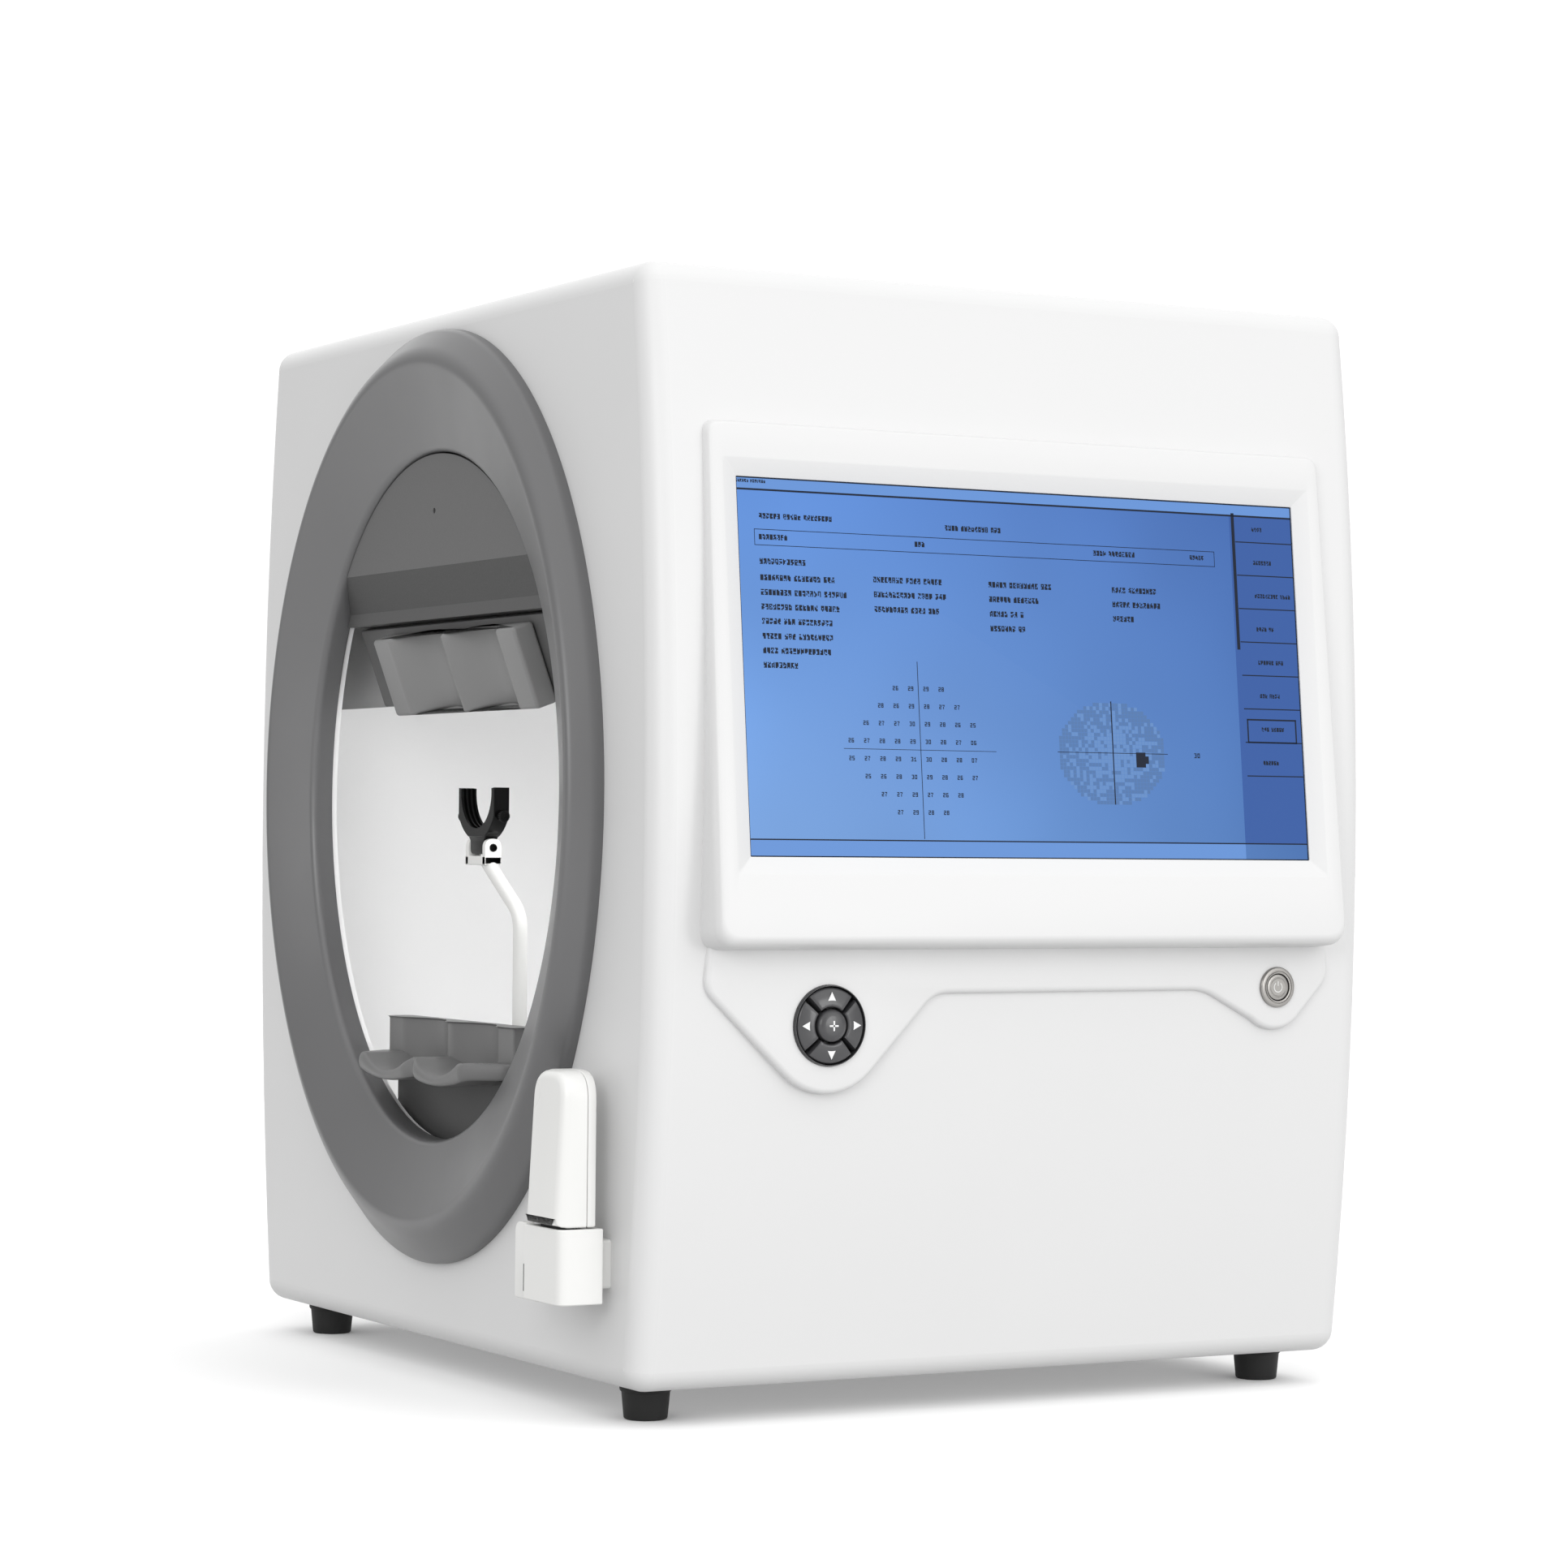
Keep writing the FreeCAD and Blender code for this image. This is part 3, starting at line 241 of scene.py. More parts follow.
def piece(name, shells, material, body, stands_for=(), crease=32.0):
    """Joins closed shells, each (points in mm, faces), into one named mesh: coincident points are merged,
    faces turned outwards, and edges sharper than crease degrees kept crisp. It then rides on its body."""
    points = np.vstack([shell[0] for shell in shells])
    starts = np.cumsum([0] + [len(shell[0]) for shell in shells])
    faces = [[corner + start for corner in face] for shell, start in zip(shells, starts) for face in shell[1]]
    mesh = bpy.data.meshes.new(name)
    mesh.from_pydata(placed(points).tolist(), [], faces)
    work = bmesh.new()
    work.from_mesh(mesh)
    bmesh.ops.remove_doubles(work, verts=work.verts, dist=2e-6)
    bmesh.ops.recalc_face_normals(work, faces=work.faces)
    work.to_mesh(mesh)
    work.free()
    mesh.polygons.foreach_set("use_smooth", np.ones(len(mesh.polygons), bool))
    mesh.set_sharp_from_angle(angle=np.radians(crease))
    mesh.materials.append(material)
    made = bpy.data.objects.new(name, mesh)
    bpy.context.scene.collection.objects.link(made)
    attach(made, body)
    if stands_for:
        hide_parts(*stands_for)
    return made


# columns: half width, half height, centre height, depth; the path runs from the cabinet's face up the steep
# outer side, over the ridge, down the inner slope to the lip and back along the throat, then home behind
ring_stations = np.array([
    (204, 254, 302, -217.5), (208, 258, 302, -219.0), (208, 258, 302, -225.0), (203, 240, 305, -240.0),
    (165, 190, 302, -224.0), (165, 190, 302, -211.5), (176, 201, 302, -211.5), (176, 201, 302, -217.5)])
ring_path = round_path(ring_stations, [0.5, 0.3, 3.5, 8.0, 5.0, 1.0, 1.0, 0.5], steps=10)
around = np.linspace(0, 2 * np.pi, 361)[:-1] + np.radians(0.5)
half_width, half_height, centre, depth = (ring_path[:, None, n] for n in range(4))
ring_loops = np.stack(np.broadcast_arrays(half_width * np.cos(around), depth,
                                          centre + half_height * np.sin(around)), -1)
ring_grey = satin_paint("satin_grey_moulded_abs", "5C5C5D", roughness=0.34, grain_mm=1.6, depth=0.006,
                        specular=0.8)
piece("patient_opening_ring", [skin(ring_loops, close_rows=True)], ring_grey, "root", ["opening_ring"])


# ---- Bowl, light baffle and hood ----
# The bowl is a 490 mm moulded ball with a flat floor, sprayed with matt diffusing white up to the opening.
# A light-grey baffle closes it above the brow, and the hood is a thin dark moulding pushed into the top of
# the opening. Its slanted underside and lower band are coloured darker as painted shade, standing for the
# shade under the hood.

bowl_white = satin_paint("matt_diffusing_bowl_white", "F4F4F4", roughness=0.8, grain_mm=0.5, depth=0.01,
                         specular=0.25)
# the baffle's grey is painted shade: it stands for the shade in the bowl above the brow
baffle_painted_shade_grey = satin_paint("matt_light_grey_abs_painted_shade", "A8A8A8", roughness=0.6, grain_mm=0.8)
finish(bowl_white, "bowl")
finish(baffle_painted_shade_grey, "light_baffle")

# the hood's grey by height: 401 to 408 is the band, 408 to 429 the slant, and above is the plain front; the
# band and the slant are darker as painted shade
hood_grey_with_painted_shade, tree = new_material("matt_grey_abs_with_painted_shade_underside")
where = add(tree, "ShaderNodeTexCoord").outputs["Object"]
split = add(tree, "ShaderNodeSeparateXYZ", Vector=where)
grain = add(tree, "ShaderNodeTexNoise", {"Scale": 1250.0, "Detail": 3.0}, Vector=where)
stops = placed([[0, 0, 408.0], [0, 0, 429.0]])[:, 2]
above_painted_shade_band = add(tree, "ShaderNodeMath", {"operation": "GREATER_THAN", 1: float(stops[0])},
                 n0=split.outputs["Z"])
above_painted_shade_slant = add(tree, "ShaderNodeMath", {"operation": "GREATER_THAN", 1: float(stops[1])},
                  n0=split.outputs["Z"])
low = add(tree, "ShaderNodeMix", {"data_type": "RGBA", 6: linear("505050"), 7: linear("3E3E3E")},
          Factor=above_painted_shade_band.outputs["Value"])
tone = add(tree, "ShaderNodeMix", {"data_type": "RGBA", 7: linear("626262")}, n6=low.outputs[2],
           Factor=above_painted_shade_slant.outputs["Value"])
fleck = add(tree, "ShaderNodeBump", {"Strength": 1.0, "Distance": 0.00002}, Height=grain.outputs["Fac"])
gloss = add(tree, "ShaderNodeMapRange", {"To Min": 0.48, "To Max": 0.68}, Value=grain.outputs["Fac"])
surface(tree, {"Specular IOR Level": 0.4}, Base_Color=tone.outputs[2], Roughness=gloss.outputs["Result"],
        Normal=fleck.outputs["Normal"])
finish(hood_grey_with_painted_shade, "forehead_hood")


# ---- Forehead rest ----
# A moulded grey silicone pad with two hollow channels, one for each eye tested, fixed at a lean on a dark
# plate that hangs under the hood. Its ends are flat and its long edges are rounded by the mould.

def moved_in(outline, distance):
    """A closed anticlockwise outline (n, 2) moved inwards: each point goes along the mean of its two edges'
    normals, over the cosine of half their angle."""
    edge = np.roll(outline, -1, 0) - outline
    edge /= np.maximum(np.linalg.norm(edge, axis=1, keepdims=True), 1e-9)
    normal = np.stack([-edge[:, 1], edge[:, 0]], 1)
    mean = normal + np.roll(normal, 1, 0)
    mean /= np.linalg.norm(mean, axis=1, keepdims=True)
    stretch = np.maximum((mean * normal).sum(1, keepdims=True), 0.5)
    return outline + mean / stretch * distance


def carried(outline, steps, right=(1, 0, 0), rise=(0, 0, 1), out=(0, -1, 0), at=(0, 0, 0)):
    """Loops of an outline, one for each (height, inset) step: moved in by the inset, then
    at + u right + v rise + height out."""
    right, rise, out = (np.asarray(way, float) for way in (right, rise, out))
    rings = []
    for height, inset in steps:
        flat = moved_in(outline, inset) if inset else outline
        rings.append(flat[:, :1] * right + flat[:, 1:] * rise + height * out + np.asarray(at, float))
    return np.stack(rings)


def bar(outline, low, high, radius=0.8, steps=4, **stance):
    """A closed solid: the outline carried from low to high, both ends rounded with a quarter circle,
    inset r(1 - sin a) at height r(1 - cos a) from the end."""
    angle = np.linspace(0, np.pi / 2, steps + 1)
    inset, step = radius * (1 - np.sin(angle)), radius * (1 - np.cos(angle))
    heights = np.concatenate([low + step, high - step[::-1]])
    return skin(carried(outline, zip(heights, np.concatenate([inset, inset[::-1]])), **stance))


def oblong(low_u, high_u, low_v, high_v, reach=1.0, steps=4):
    """An anticlockwise rectangle whose four corners are rounded by round_path's curve."""
    return round_path([(low_u, low_v), (high_u, low_v), (high_u, high_v), (low_u, high_v)], reach, steps)


lean = np.radians(20.0)
pad_up = (0, -np.sin(lean), np.cos(lean))
pad_out = (0, -np.cos(lean), -np.sin(lean))
# each channel's front is the parabola ridge - 12 (1 - s^2), s from -1 to 1 across its 72 mm
ridge, pad_half, channel_half = 13.0, 94, 36
step = np.linspace(-1, 1, 21)[1:-1]
dip = ridge - 12.0 * (1 - step ** 2)
front_x = np.concatenate([[pad_half, 2 * channel_half], channel_half - channel_half * step, [0],
                          -channel_half - channel_half * step, [-2 * channel_half, -pad_half]])
front_out = np.concatenate([[ridge, ridge], dip, [ridge], dip, [ridge, ridge]])
pad_corners = np.vstack([[(-pad_half, 0), (pad_half, 0)], np.stack([front_x, front_out], 1)])
pad_reach = np.select([np.abs(pad_corners[:, 0]) == pad_half, pad_corners[:, 1] == ridge], [2.4, 1.2], 0.0)
pad_outline = round_path(pad_corners, pad_reach, steps=5)
silicone = satin_paint("satin_grey_moulded_silicone", "868686", roughness=0.42, grain_mm=0.6, depth=0.012,
                       specular=0.35)
forehead_pad = piece("silicone_forehead_pad",
                     [bar(pad_outline, 0, 46, radius=2.2, rise=pad_out, out=pad_up, at=(0, -190.1, 352.5))],
                     silicone, "root", ["forehead_pad"])
plate = oblong(-138, 138, 0, 46.8, reach=2.0)
plate_grey = satin_paint("matt_dark_grey_abs", "5C5C5C", roughness=0.55, grain_mm=0.8, depth=0.02)
piece("forehead_rest_plate", [bar(plate, 0, 5.6, radius=0.8, rise=(0, -0.342, 0.94), out=(0, -0.94, -0.342),
                                  at=(0, -185.0, 357.0))], plate_grey, "root", ["forehead_bracket"])


# ---- Chin rest ----
# A grey moulded tray with a shallow cup for each side of the chin and a scalloped wall behind, on a dark
# apron that runs down through the slot in the bowl's floor to the lift stage.

cup_x, tray_half, tray_back, wall_y = 33, 83, -199.0, -209.5


def cup_dip(x):
    """Depth of the two cups across the tray: a circle's arc of radius 92.5 mm about each cup's middle,
    sqrt(92.5^2 - d^2) - 87.5, and nothing outside it."""
    beside = np.abs(np.abs(x) - cup_x)
    return np.maximum(np.sqrt(92.5 ** 2 - beside ** 2) - 87.5, 0)


tray_x = np.concatenate([np.linspace(-tray_half, -70, 8)[:-1], np.linspace(-70, 70, 97),
                         np.linspace(70, tray_half, 8)[1:]])
corner_cut = np.clip((np.abs(tray_x) - 67) / 16, 0, 1) ** 1.3
tray_front = -235 + 21 * corner_cut + 3.5 * np.exp(-(tray_x / 5.0) ** 2)
bulge = 5.5 * np.clip(1 - ((np.abs(tray_x) - cup_x) / 38) ** 2, 0, 1)
tray_top, tray_low = 157.5 - 1.7 * cup_dip(tray_x), 148.4 - 0.9 * bulge
lip = np.linspace(0, np.pi, 9)
middle, half = (tray_top + tray_low) / 2, (tray_top - tray_low) / 2
roll_y = tray_front[:, None] + 2.6 - 2.6 * np.sin(lip)
roll_z = middle[:, None] + half[:, None] * np.cos(lip)
behind = np.full((len(tray_x), 1), tray_back)
halfway = (behind + tray_front[:, None]) / 2
tray_y = np.hstack([behind, halfway, roll_y, halfway, behind])
tray_z = np.hstack([tray_top[:, None]] * 2 + [roll_z] + [tray_low[:, None]] * 2)
tray = np.stack([np.repeat(tray_x[:, None], tray_y.shape[1], 1), tray_y, tray_z], -1)
wall_x = np.linspace(tray_half, -tray_half, 85)[1:-1]
wall_front = np.stack([wall_x, wall_y + 2.1 * cup_dip(wall_x)], 1)
wall_corners = np.vstack([wall_front, [(-tray_half, wall_y), (-tray_half, -196.5), (tray_half, -196.5),
                                       (tray_half, wall_y)]])
wall_outline = round_path(wall_corners, np.concatenate([np.zeros(83), [1.6, 2.4, 2.4, 1.6]]), steps=4)
chin_grey = satin_paint("satin_grey_moulded_abs_chin_rest", "6C6C6C", roughness=0.42, grain_mm=0.7,
                        depth=0.015)
apron_grey = satin_paint("matt_dark_grey_abs_apron", "404040", roughness=0.5, grain_mm=0.7, depth=0.02)
upright = {"rise": (0, 1, 0), "out": (0, 0, 1)}
piece("chin_rest_tray", [skin(tray), bar(wall_outline, 147.5, 177, radius=1.6, **upright)], chin_grey,
      "chin_lift", ["chin_cup"], crease=40)
apron = oblong(-80, 80, -205.5, -199.0, reach=1.5)
piece("chin_rest_apron", [bar(apron, 48, 148.8, radius=0.6, **upright)], apron_grey, "chin_lift",
      ["chin_apron"])


# ---- Lens arm and trial-lens holder ----
# A bent 8 mm steel tube, powder-coated white, stands in a socket on the bowl's floor. Its clevis carries a
# black anodised fork for one round lens, with three grooves, on a pin, and a knurled screw on each side.

def tube(path, radius, sides=32):
    """Circles of one radius about each point of an upright path (x, z) at y = 0, each square to the path:
    p + r (cos a N + sin a Y), where N is the path's normal in its plane."""
    run = np.diff(path, axis=0)
    run /= np.linalg.norm(run, axis=1, keepdims=True)
    ahead = np.vstack([run[:1], run[:-1] + run[1:], run[-1:]])
    ahead /= np.linalg.norm(ahead, axis=1, keepdims=True)
    normal = np.stack([ahead[:, 1], np.zeros(len(path)), -ahead[:, 0]], 1)
    spots = np.stack([path[:, 0], np.zeros(len(path)), path[:, 1]], 1)
    angle = np.linspace(0, 2 * np.pi, sides + 1)[:-1]
    ring = np.cos(angle)[:, None] * normal[:, None] + np.sin(angle)[:, None] * np.array([0, 1, 0])
    return spots[:, None] + radius * ring


def turned(profile, sides=48, axis=(0, 0, 1), at=(0, 0, 0), ribs=0, rib_depth=0.0, rib_rows=()):
    """A profile of (along, radius) pairs turned about an axis A through at:
    at + along A + radius (cos a S + sin a T), with S and T square to A. Rows named in rib_rows are
    knurled: their radius gains rib_depth * cos(ribs * a)."""
    axis = np.asarray(axis, float)
    side = np.array([0, 0, 1.0]) if abs(axis[2]) < 0.5 else np.array([1.0, 0, 0])
    other = np.cross(axis, side)
    angle = np.linspace(0, 2 * np.pi, sides + 1)[:-1]
    profile = np.asarray(profile, float)
    radius = np.repeat(profile[:, 1:], sides, 1)
    for row in rib_rows:
        radius[row] += rib_depth * np.cos(ribs * angle)
    ring = np.cos(angle)[:, None] * side + np.sin(angle)[:, None] * other
    loops = np.asarray(at, float) + profile[:, :1, None] * axis + radius[..., None] * ring
    return skin(loops, cap_ends=False)


lens_y, arm_x, lens_z, pin_z = -190, 49, 304.3, 273.5
enamel = satin_paint("satin_white_powder_coat", "E2E2E0", roughness=0.35, grain_mm=1.2, depth=0.02)
arm_path = round_path([(arm_x, 106), (arm_x, 237), (6, 265.2)], 10, steps=14, closed=False)
piece("lens_arm_tube", [skin(tube(arm_path, 4.0) + [0, lens_y, 0])], enamel, "lens_arm", ["lens_arm"],
      crease=50)
boss = [(104, 0), (104, 7.5), (105.5, 7), (131, 7), (132, 6), (132, 4.06), (105.5, 4.06), (105.5, 0)]
piece("lens_arm_boss", [turned(boss, at=(arm_x, lens_y, 0)),
                        bar(oblong(44, 54, lens_y, -163, 1), 104, 108, **upright)],
      enamel, "root", ["lens_arm_socket"])
cheek = round_path([(-5, 264), (5, 264), (5, 278.5), (-5, 278.5)], [0.4, 0.4, 4.8, 4.8], steps=8)
base = oblong(-13, 13, 263.9, 268.9, 0.8)
cheeks = [bar(cheek, low, low + 3.8, radius=0.5, right=(0, 1, 0), out=(1, 0, 0), at=(0, lens_y, 0))
          for low in (-13, 9.2)]
piece("lens_clevis_fork", [*cheeks, bar(base, -5, 5, radius=0.5, at=(0, lens_y, 0))], enamel, "lens_arm",
      ["lens_clevis"])

black_anodised = satin_paint("satin_black_anodised_aluminium", "060606", roughness=0.24, grain_mm=0.35,
                             depth=0.003, specular=0.15)
pin = [(-14.0, 0), (-14.0, 1.9), (-13.2, 2.3), (-13.0, 2.3), (-13.0, 1.5), (13.0, 1.5), (13.0, 2.3),
       (13.2, 2.3), (14.0, 1.9), (14.0, 1.0), (13.5, 0.8), (13.5, 0)]
piece("lens_clevis_pin", [turned(pin, axis=(1, 0, 0), at=(0, lens_y, pin_z))], black_anodised, "lens_arm",
      ["clevis_pin"])

# the fork: a C swept round the lens centre, its inner face cut by three grooves; outside it follows the
# nearer of a circle of 27 mm and the flat sides and foot of its blank
sweep = np.linspace(np.pi - 0.11, 2 * np.pi + 0.11, 97)
outside = np.minimum(np.minimum(27.0, 23.5 / np.maximum(np.abs(np.cos(sweep)), 0.2)),
                     24.8 / np.maximum(-np.sin(sweep), 0.2))
groove_y = np.array([-4.75, -3.5, -3.5, -1.7, -1.7, -0.9, -0.9, 0.9, 0.9, 1.7, 1.7, 3.5, 3.5, 4.75])
groove_r = np.array([20.0, 20.0, 21.4, 21.4, 20.0, 20.0, 21.4, 21.4, 20.0, 20.0, 21.4, 21.4, 20.0, 20.0])
radii = np.hstack([np.broadcast_to(groove_r, (97, 14)), outside[:, None] + [-0.5, 0, 0, -0.5]])
depths = np.concatenate([groove_y, [4.75, 4.25, -4.25, -4.75]])
fork = np.stack(np.broadcast_arrays(radii * np.cos(sweep)[:, None], lens_y + depths,
                                    lens_z + radii * np.sin(sweep)[:, None]), -1)
neck = round_path([(-13, 281.5), (-8.6, 277), (-8.6, 270), (8.6, 270), (8.6, 277), (13, 281.5)],
                  [0.3, 1, 3, 3, 1, 0.3], steps=4)
piece("trial_lens_fork", [skin(fork), bar(neck, -4, 4, radius=0.5, at=(0, lens_y, 0))], black_anodised,
      "lens_holder", ["lens_holder"], crease=25)
knob = [(21.5, 0), (21.5, 1.5), (23.6, 1.5), (23.6, 2.8), (23.9, 3.3), (24.0, 3.3), (27.0, 3.3), (27.1, 3.3),
        (27.5, 2.6), (27.5, 1.0), (27.2, 0.8), (27.2, 0)]
piece("lens_clamp_screws", [turned(knob, 96, (way, 0, 0), (0, lens_y, 291), ribs=24, rib_depth=0.16,
                                   rib_rows=(4, 5, 6, 7)) for way in (-1, 1)], black_anodised, "lens_holder",
      ["holder_screws"], crease=20)


# ---- Screen ----
# A 15.6 inch panel behind anti-glare glass, leaning back 5.8 degrees. It shows a finished field test:
# a title bar, a boxed header, rows of small print, a diamond of threshold numbers, a grey plot and keys.

screen_lean = np.radians(5.8)
screen_up = np.array([-np.sin(screen_lean), 0, np.cos(screen_lean)])
screen_out = np.array([np.cos(screen_lean), 0, np.sin(screen_lean)])
screen_centre = np.array([269.0, 0, 367.0])
on_screen = {"right": (0, 1, 0), "rise": screen_up, "out": screen_out, "at": screen_centre}


def lit(name, code, strength, roughness=0.3):
    """A lit layer of the display: it glows evenly and keeps the glass's soft gloss."""
    made, tree = new_material(name)
    surface(tree, {"Base Color": linear("0B0D10"), "Emission Color": linear(code),
                   "Emission Strength": strength, "Roughness": roughness, "Specular IOR Level": 0.12})
    return made


# the backlight: a sky-blue page, darker to the right and towards the top, whose brightness drifts with a slow
# cloud of 110 mm, under glass etched with a grain of 0.4 mm
backlight, tree = new_material("antiglare_glass_over_lit_panel")
where = add(tree, "ShaderNodeTexCoord").outputs["Object"]
split = add(tree, "ShaderNodeSeparateXYZ", Vector=where)
side_shade = add(tree, "ShaderNodeMapRange", {"From Min": -0.17, "From Max": 0.19}, Value=split.outputs["Y"])
page = add(tree, "ShaderNodeMix", {"data_type": "RGBA", 6: linear("7CB0F4"), 7: linear("507EC4")},
           Factor=side_shade.outputs["Result"])
fall = add(tree, "ShaderNodeMapRange", {"From Min": 0.29, "From Max": 0.48}, Value=split.outputs["Z"])
tinted = add(tree, "ShaderNodeMix", {"data_type": "RGBA", "blend_type": "MULTIPLY", 7: linear("D4E2F8")},
             Factor=fall.outputs["Result"], n6=page.outputs[2])
cloud = add(tree, "ShaderNodeTexNoise", {"Scale": 9.0, "Detail": 1.0}, Vector=where)
dim = add(tree, "ShaderNodeMapRange", {"From Min": 0.3, "From Max": 0.7, "To Min": 0.76, "To Max": 0.88},
          Value=cloud.outputs["Fac"])
grit = add(tree, "ShaderNodeTexNoise", {"Scale": 2500.0, "Detail": 1.0}, Vector=where)
etch = add(tree, "ShaderNodeBump", {"Strength": 1.0, "Distance": 0.000004}, Height=grit.outputs["Fac"])
surface(tree, {"Base Color": linear("101418"), "Roughness": 0.28, "Specular IOR Level": 0.15},
        Emission_Color=tinted.outputs[2], Emission_Strength=dim.outputs["Result"],
        Normal=etch.outputs["Normal"])
glass = oblong(-176, 176, -100.8, 100.8, 0.5)
piece("display_glass", [bar(glass, -2.2, -1.0, radius=0.2, **on_screen)], backlight, "root", ["screen_glass"])


def printed(boxes, height):
    """Flat marks on the screen: each (u low, u high, v low, v high) becomes four points, height mm above
    the glass, and one face."""
    boxes = np.asarray(boxes, float)
    corners = boxes[:, [[0, 2], [1, 2], [1, 3], [0, 3]]]
    points = (corners[..., :1] * np.array([0, 1.0, 0]) + corners[..., 1:] * screen_up
              + screen_centre + (height - 1.0) * screen_out)
    return points.reshape(-1, 3), np.arange(len(boxes) * 4).reshape(-1, 4).tolist()


def bordered(low_u, high_u, low_v, high_v, width=0.35):
    """The four strips of a box's outline."""
    return [(low_u, high_u, low_v, low_v + width), (low_u, high_u, high_v - width, high_v),
            (low_u, low_u + width, low_v, high_v), (high_u - width, high_u, low_v, high_v)]


digit_dots = np.array([[int(dot) for dot in glyph] for glyph in (
    "111101101101111", "010110010010111", "111001111100111", "111001011001111", "101101111001001",
    "111100111001111", "111100111101111", "111001010010010", "111101111101111", "111101111001111")])


def dots(pattern, u, v, pitch):
    """One box for each set dot of a 3 x 5 pattern, read left to right from the top."""
    spot = np.flatnonzero(pattern)
    left, top = u + spot % 3 * pitch, v - spot // 3 * pitch
    return np.stack([left, left + pitch, top - pitch, top], 1).tolist()


def number(value, u, v, pitch=0.46):
    """A two-figure number, its top left corner at u, v."""
    return sum((dots(digit_dots[int(figure)], u + place * 4 * pitch, v, pitch)
                for place, figure in enumerate(f"{value:02d}")), [])


small_print = np.random.default_rng(7)


def words(u, v, lengths, pitch=0.5):
    """A line of stand-in print: every letter is a random 3 x 5 pattern that spells nothing."""
    marks = []
    for length in lengths:
        for _ in range(length):
            pattern = small_print.random(15) < 0.82
            marks += dots(pattern, u, v, pitch)
            u += pitch * 3.75
        u += pitch * 2.6
    return marks


ink = []
ink += words(-172, 95.5, [6, 7], 0.34)
ink += words(-159.2, 78.4, [6, 5, 8], 0.56) + words(-49.2, 77.0, [4, 8, 3], 0.56)
ink += bordered(-162.4, 120.2, 61.8, 70.2)
ink += words(-159.7, 67.6, [8], 0.56) + words(-67.9, 67.6, [3], 0.56)
ink += words(42.2, 67.6, [4, 8], 0.56) + words(104.0, 67.6, [5], 0.5)
for row, lengths in enumerate(([12], [8, 7, 3], [8, 7, 6], [8, 6, 5], [5, 3, 9], [5, 3, 9], [4, 13], [9])):
    ink += words(-159.8, (55.2, 46.9, 39.4, 32.0, 24.6, 17.0, 9.6, 2.2)[row], lengths, 0.6)
for column, rows in ((-93.6, ([8, 4, 5], [11, 4, 3], [9, 4, 3])),
                     (-24.0, ([5, 8, 3], [6, 7], [5, 2, 1], [7, 2])), (52.9, ([4, 8], [5, 8], [6]))):
    for row, lengths in enumerate(rows):
        ink += words(column, 48.3 - 7.7 * row, lengths, 0.6)
# the diamond of thresholds in decibels: eight rows, 9.15 mm apart both ways about the two axes
threshold_rows = ((-2, 2), (-3, 3), (-4, 4), (-5, 4), (-5, 4), (-4, 4), (-3, 3), (-2, 2))
spacing = 9.15
for row, (first, last) in enumerate(threshold_rows):
    height = -41.0 + spacing * (3.5 - row) + 0.9
    for column in range(first, last):
        value = int(31 - abs(column + 0.5) * 0.9 - abs(3.5 - row) * 0.7 + small_print.integers(-1, 2))
        if (row, column) in ((3, 3), (4, 3)):
            value = int(small_print.integers(3, 9))
        ink += number(value, -69.5 + spacing * (column + 0.5) - 1.6, height)
ink += [(-69.75, -69.35, -87.0, 4.9), (-115.2, -23.8, -41.15, -40.85), (14.0, 83.5, -40.6, -40.25),
        (48.4, 49.1, -67.8, -12.9)]
ink += number(30, 100.5, -39.6, 0.52)
ink += [(-172.3, 172.2, 89.9, 90.9), (132.2, 134.2, 17.3, 91.8), (-172.3, 172.2, -88.2, -87.5)]
for row in range(8):
    top = 93.5 - 18.2 * row
    ink += words(145.5, top - 9.0, [[4], [7], [9, 4], [4, 2], [6, 3], [3, 4], [3, 5], [6]][row], 0.46)
    ink += [(134.5, 171.5, top - 17.6, top - 17.0)]
ink += bordered(136.0, 168.5, -33.4, -20.2, 0.9) + bordered(-172.1, 172.1, -96.8, 96.8, 0.7)
marks = lit("dark_ink_on_lit_panel", "101D33", 0.8)
piece("display_print", [printed(ink, 0.08)], marks, "root")
sidebar = lit("shaded_column_on_lit_panel", "3A62AC", 0.9)
piece("display_key_column", [printed([(131.0, 172.0, -87.5, 89.9)], 0.03)], sidebar, "root")
title = lit("title_bar_on_lit_panel", "6A98DC", 0.95)
title_bars = [(-172.0, 172.0, 90.9, 96.7), (-172.0, 131.0, -96.7, -88.2)]
piece("display_title_bars", [printed(title_bars, 0.03)], title, "root")
# the grey plot: cells 2 mm wide inside a circle of 33 mm radius, tone by the step of loss, darker at the
# blind spot right of the centre
cell = np.arange(-17, 18) * 2.0
cell_u, cell_v = (spread.ravel() for spread in np.meshgrid(cell, cell))
inside = np.hypot(cell_u, cell_v * 1.22) < 33.5
cell_u, cell_v = cell_u[inside], cell_v[inside]
loss = small_print.random(len(cell_u)) * 0.6 + np.hypot(cell_u, cell_v) / 60
blind = np.exp(-((cell_u - 18.4) ** 2 + (cell_v + 3.0) ** 2) / 16)
for tone_name, chosen, code in (("light", loss < 0.62, "6F9AD6"), ("mid", loss >= 0.62, "5D84BC"),
                                ("dark", blind > 0.35, "131E33")):
    edge = 1.0 if tone_name == "dark" else 0.93
    cells = np.stack([cell_u - edge, cell_u + edge, cell_v - edge, cell_v + edge], 1)[chosen]
    cells += [48.2, 48.2, -40.8, -40.8]
    tone = lit("grey_plot_" + tone_name, code, 0.85)
    piece("display_plot_" + tone_name, [printed(cells, 0.06 if tone_name == "dark" else 0.04)], tone, "root")


# ---- Operator's fascia ----
# A white ABS moulding that frames the screen: a chamfer down to the glass, a flat border, and a rounded
# ledge that stands proud of the barrel side most at its foot. It leans with the screen.

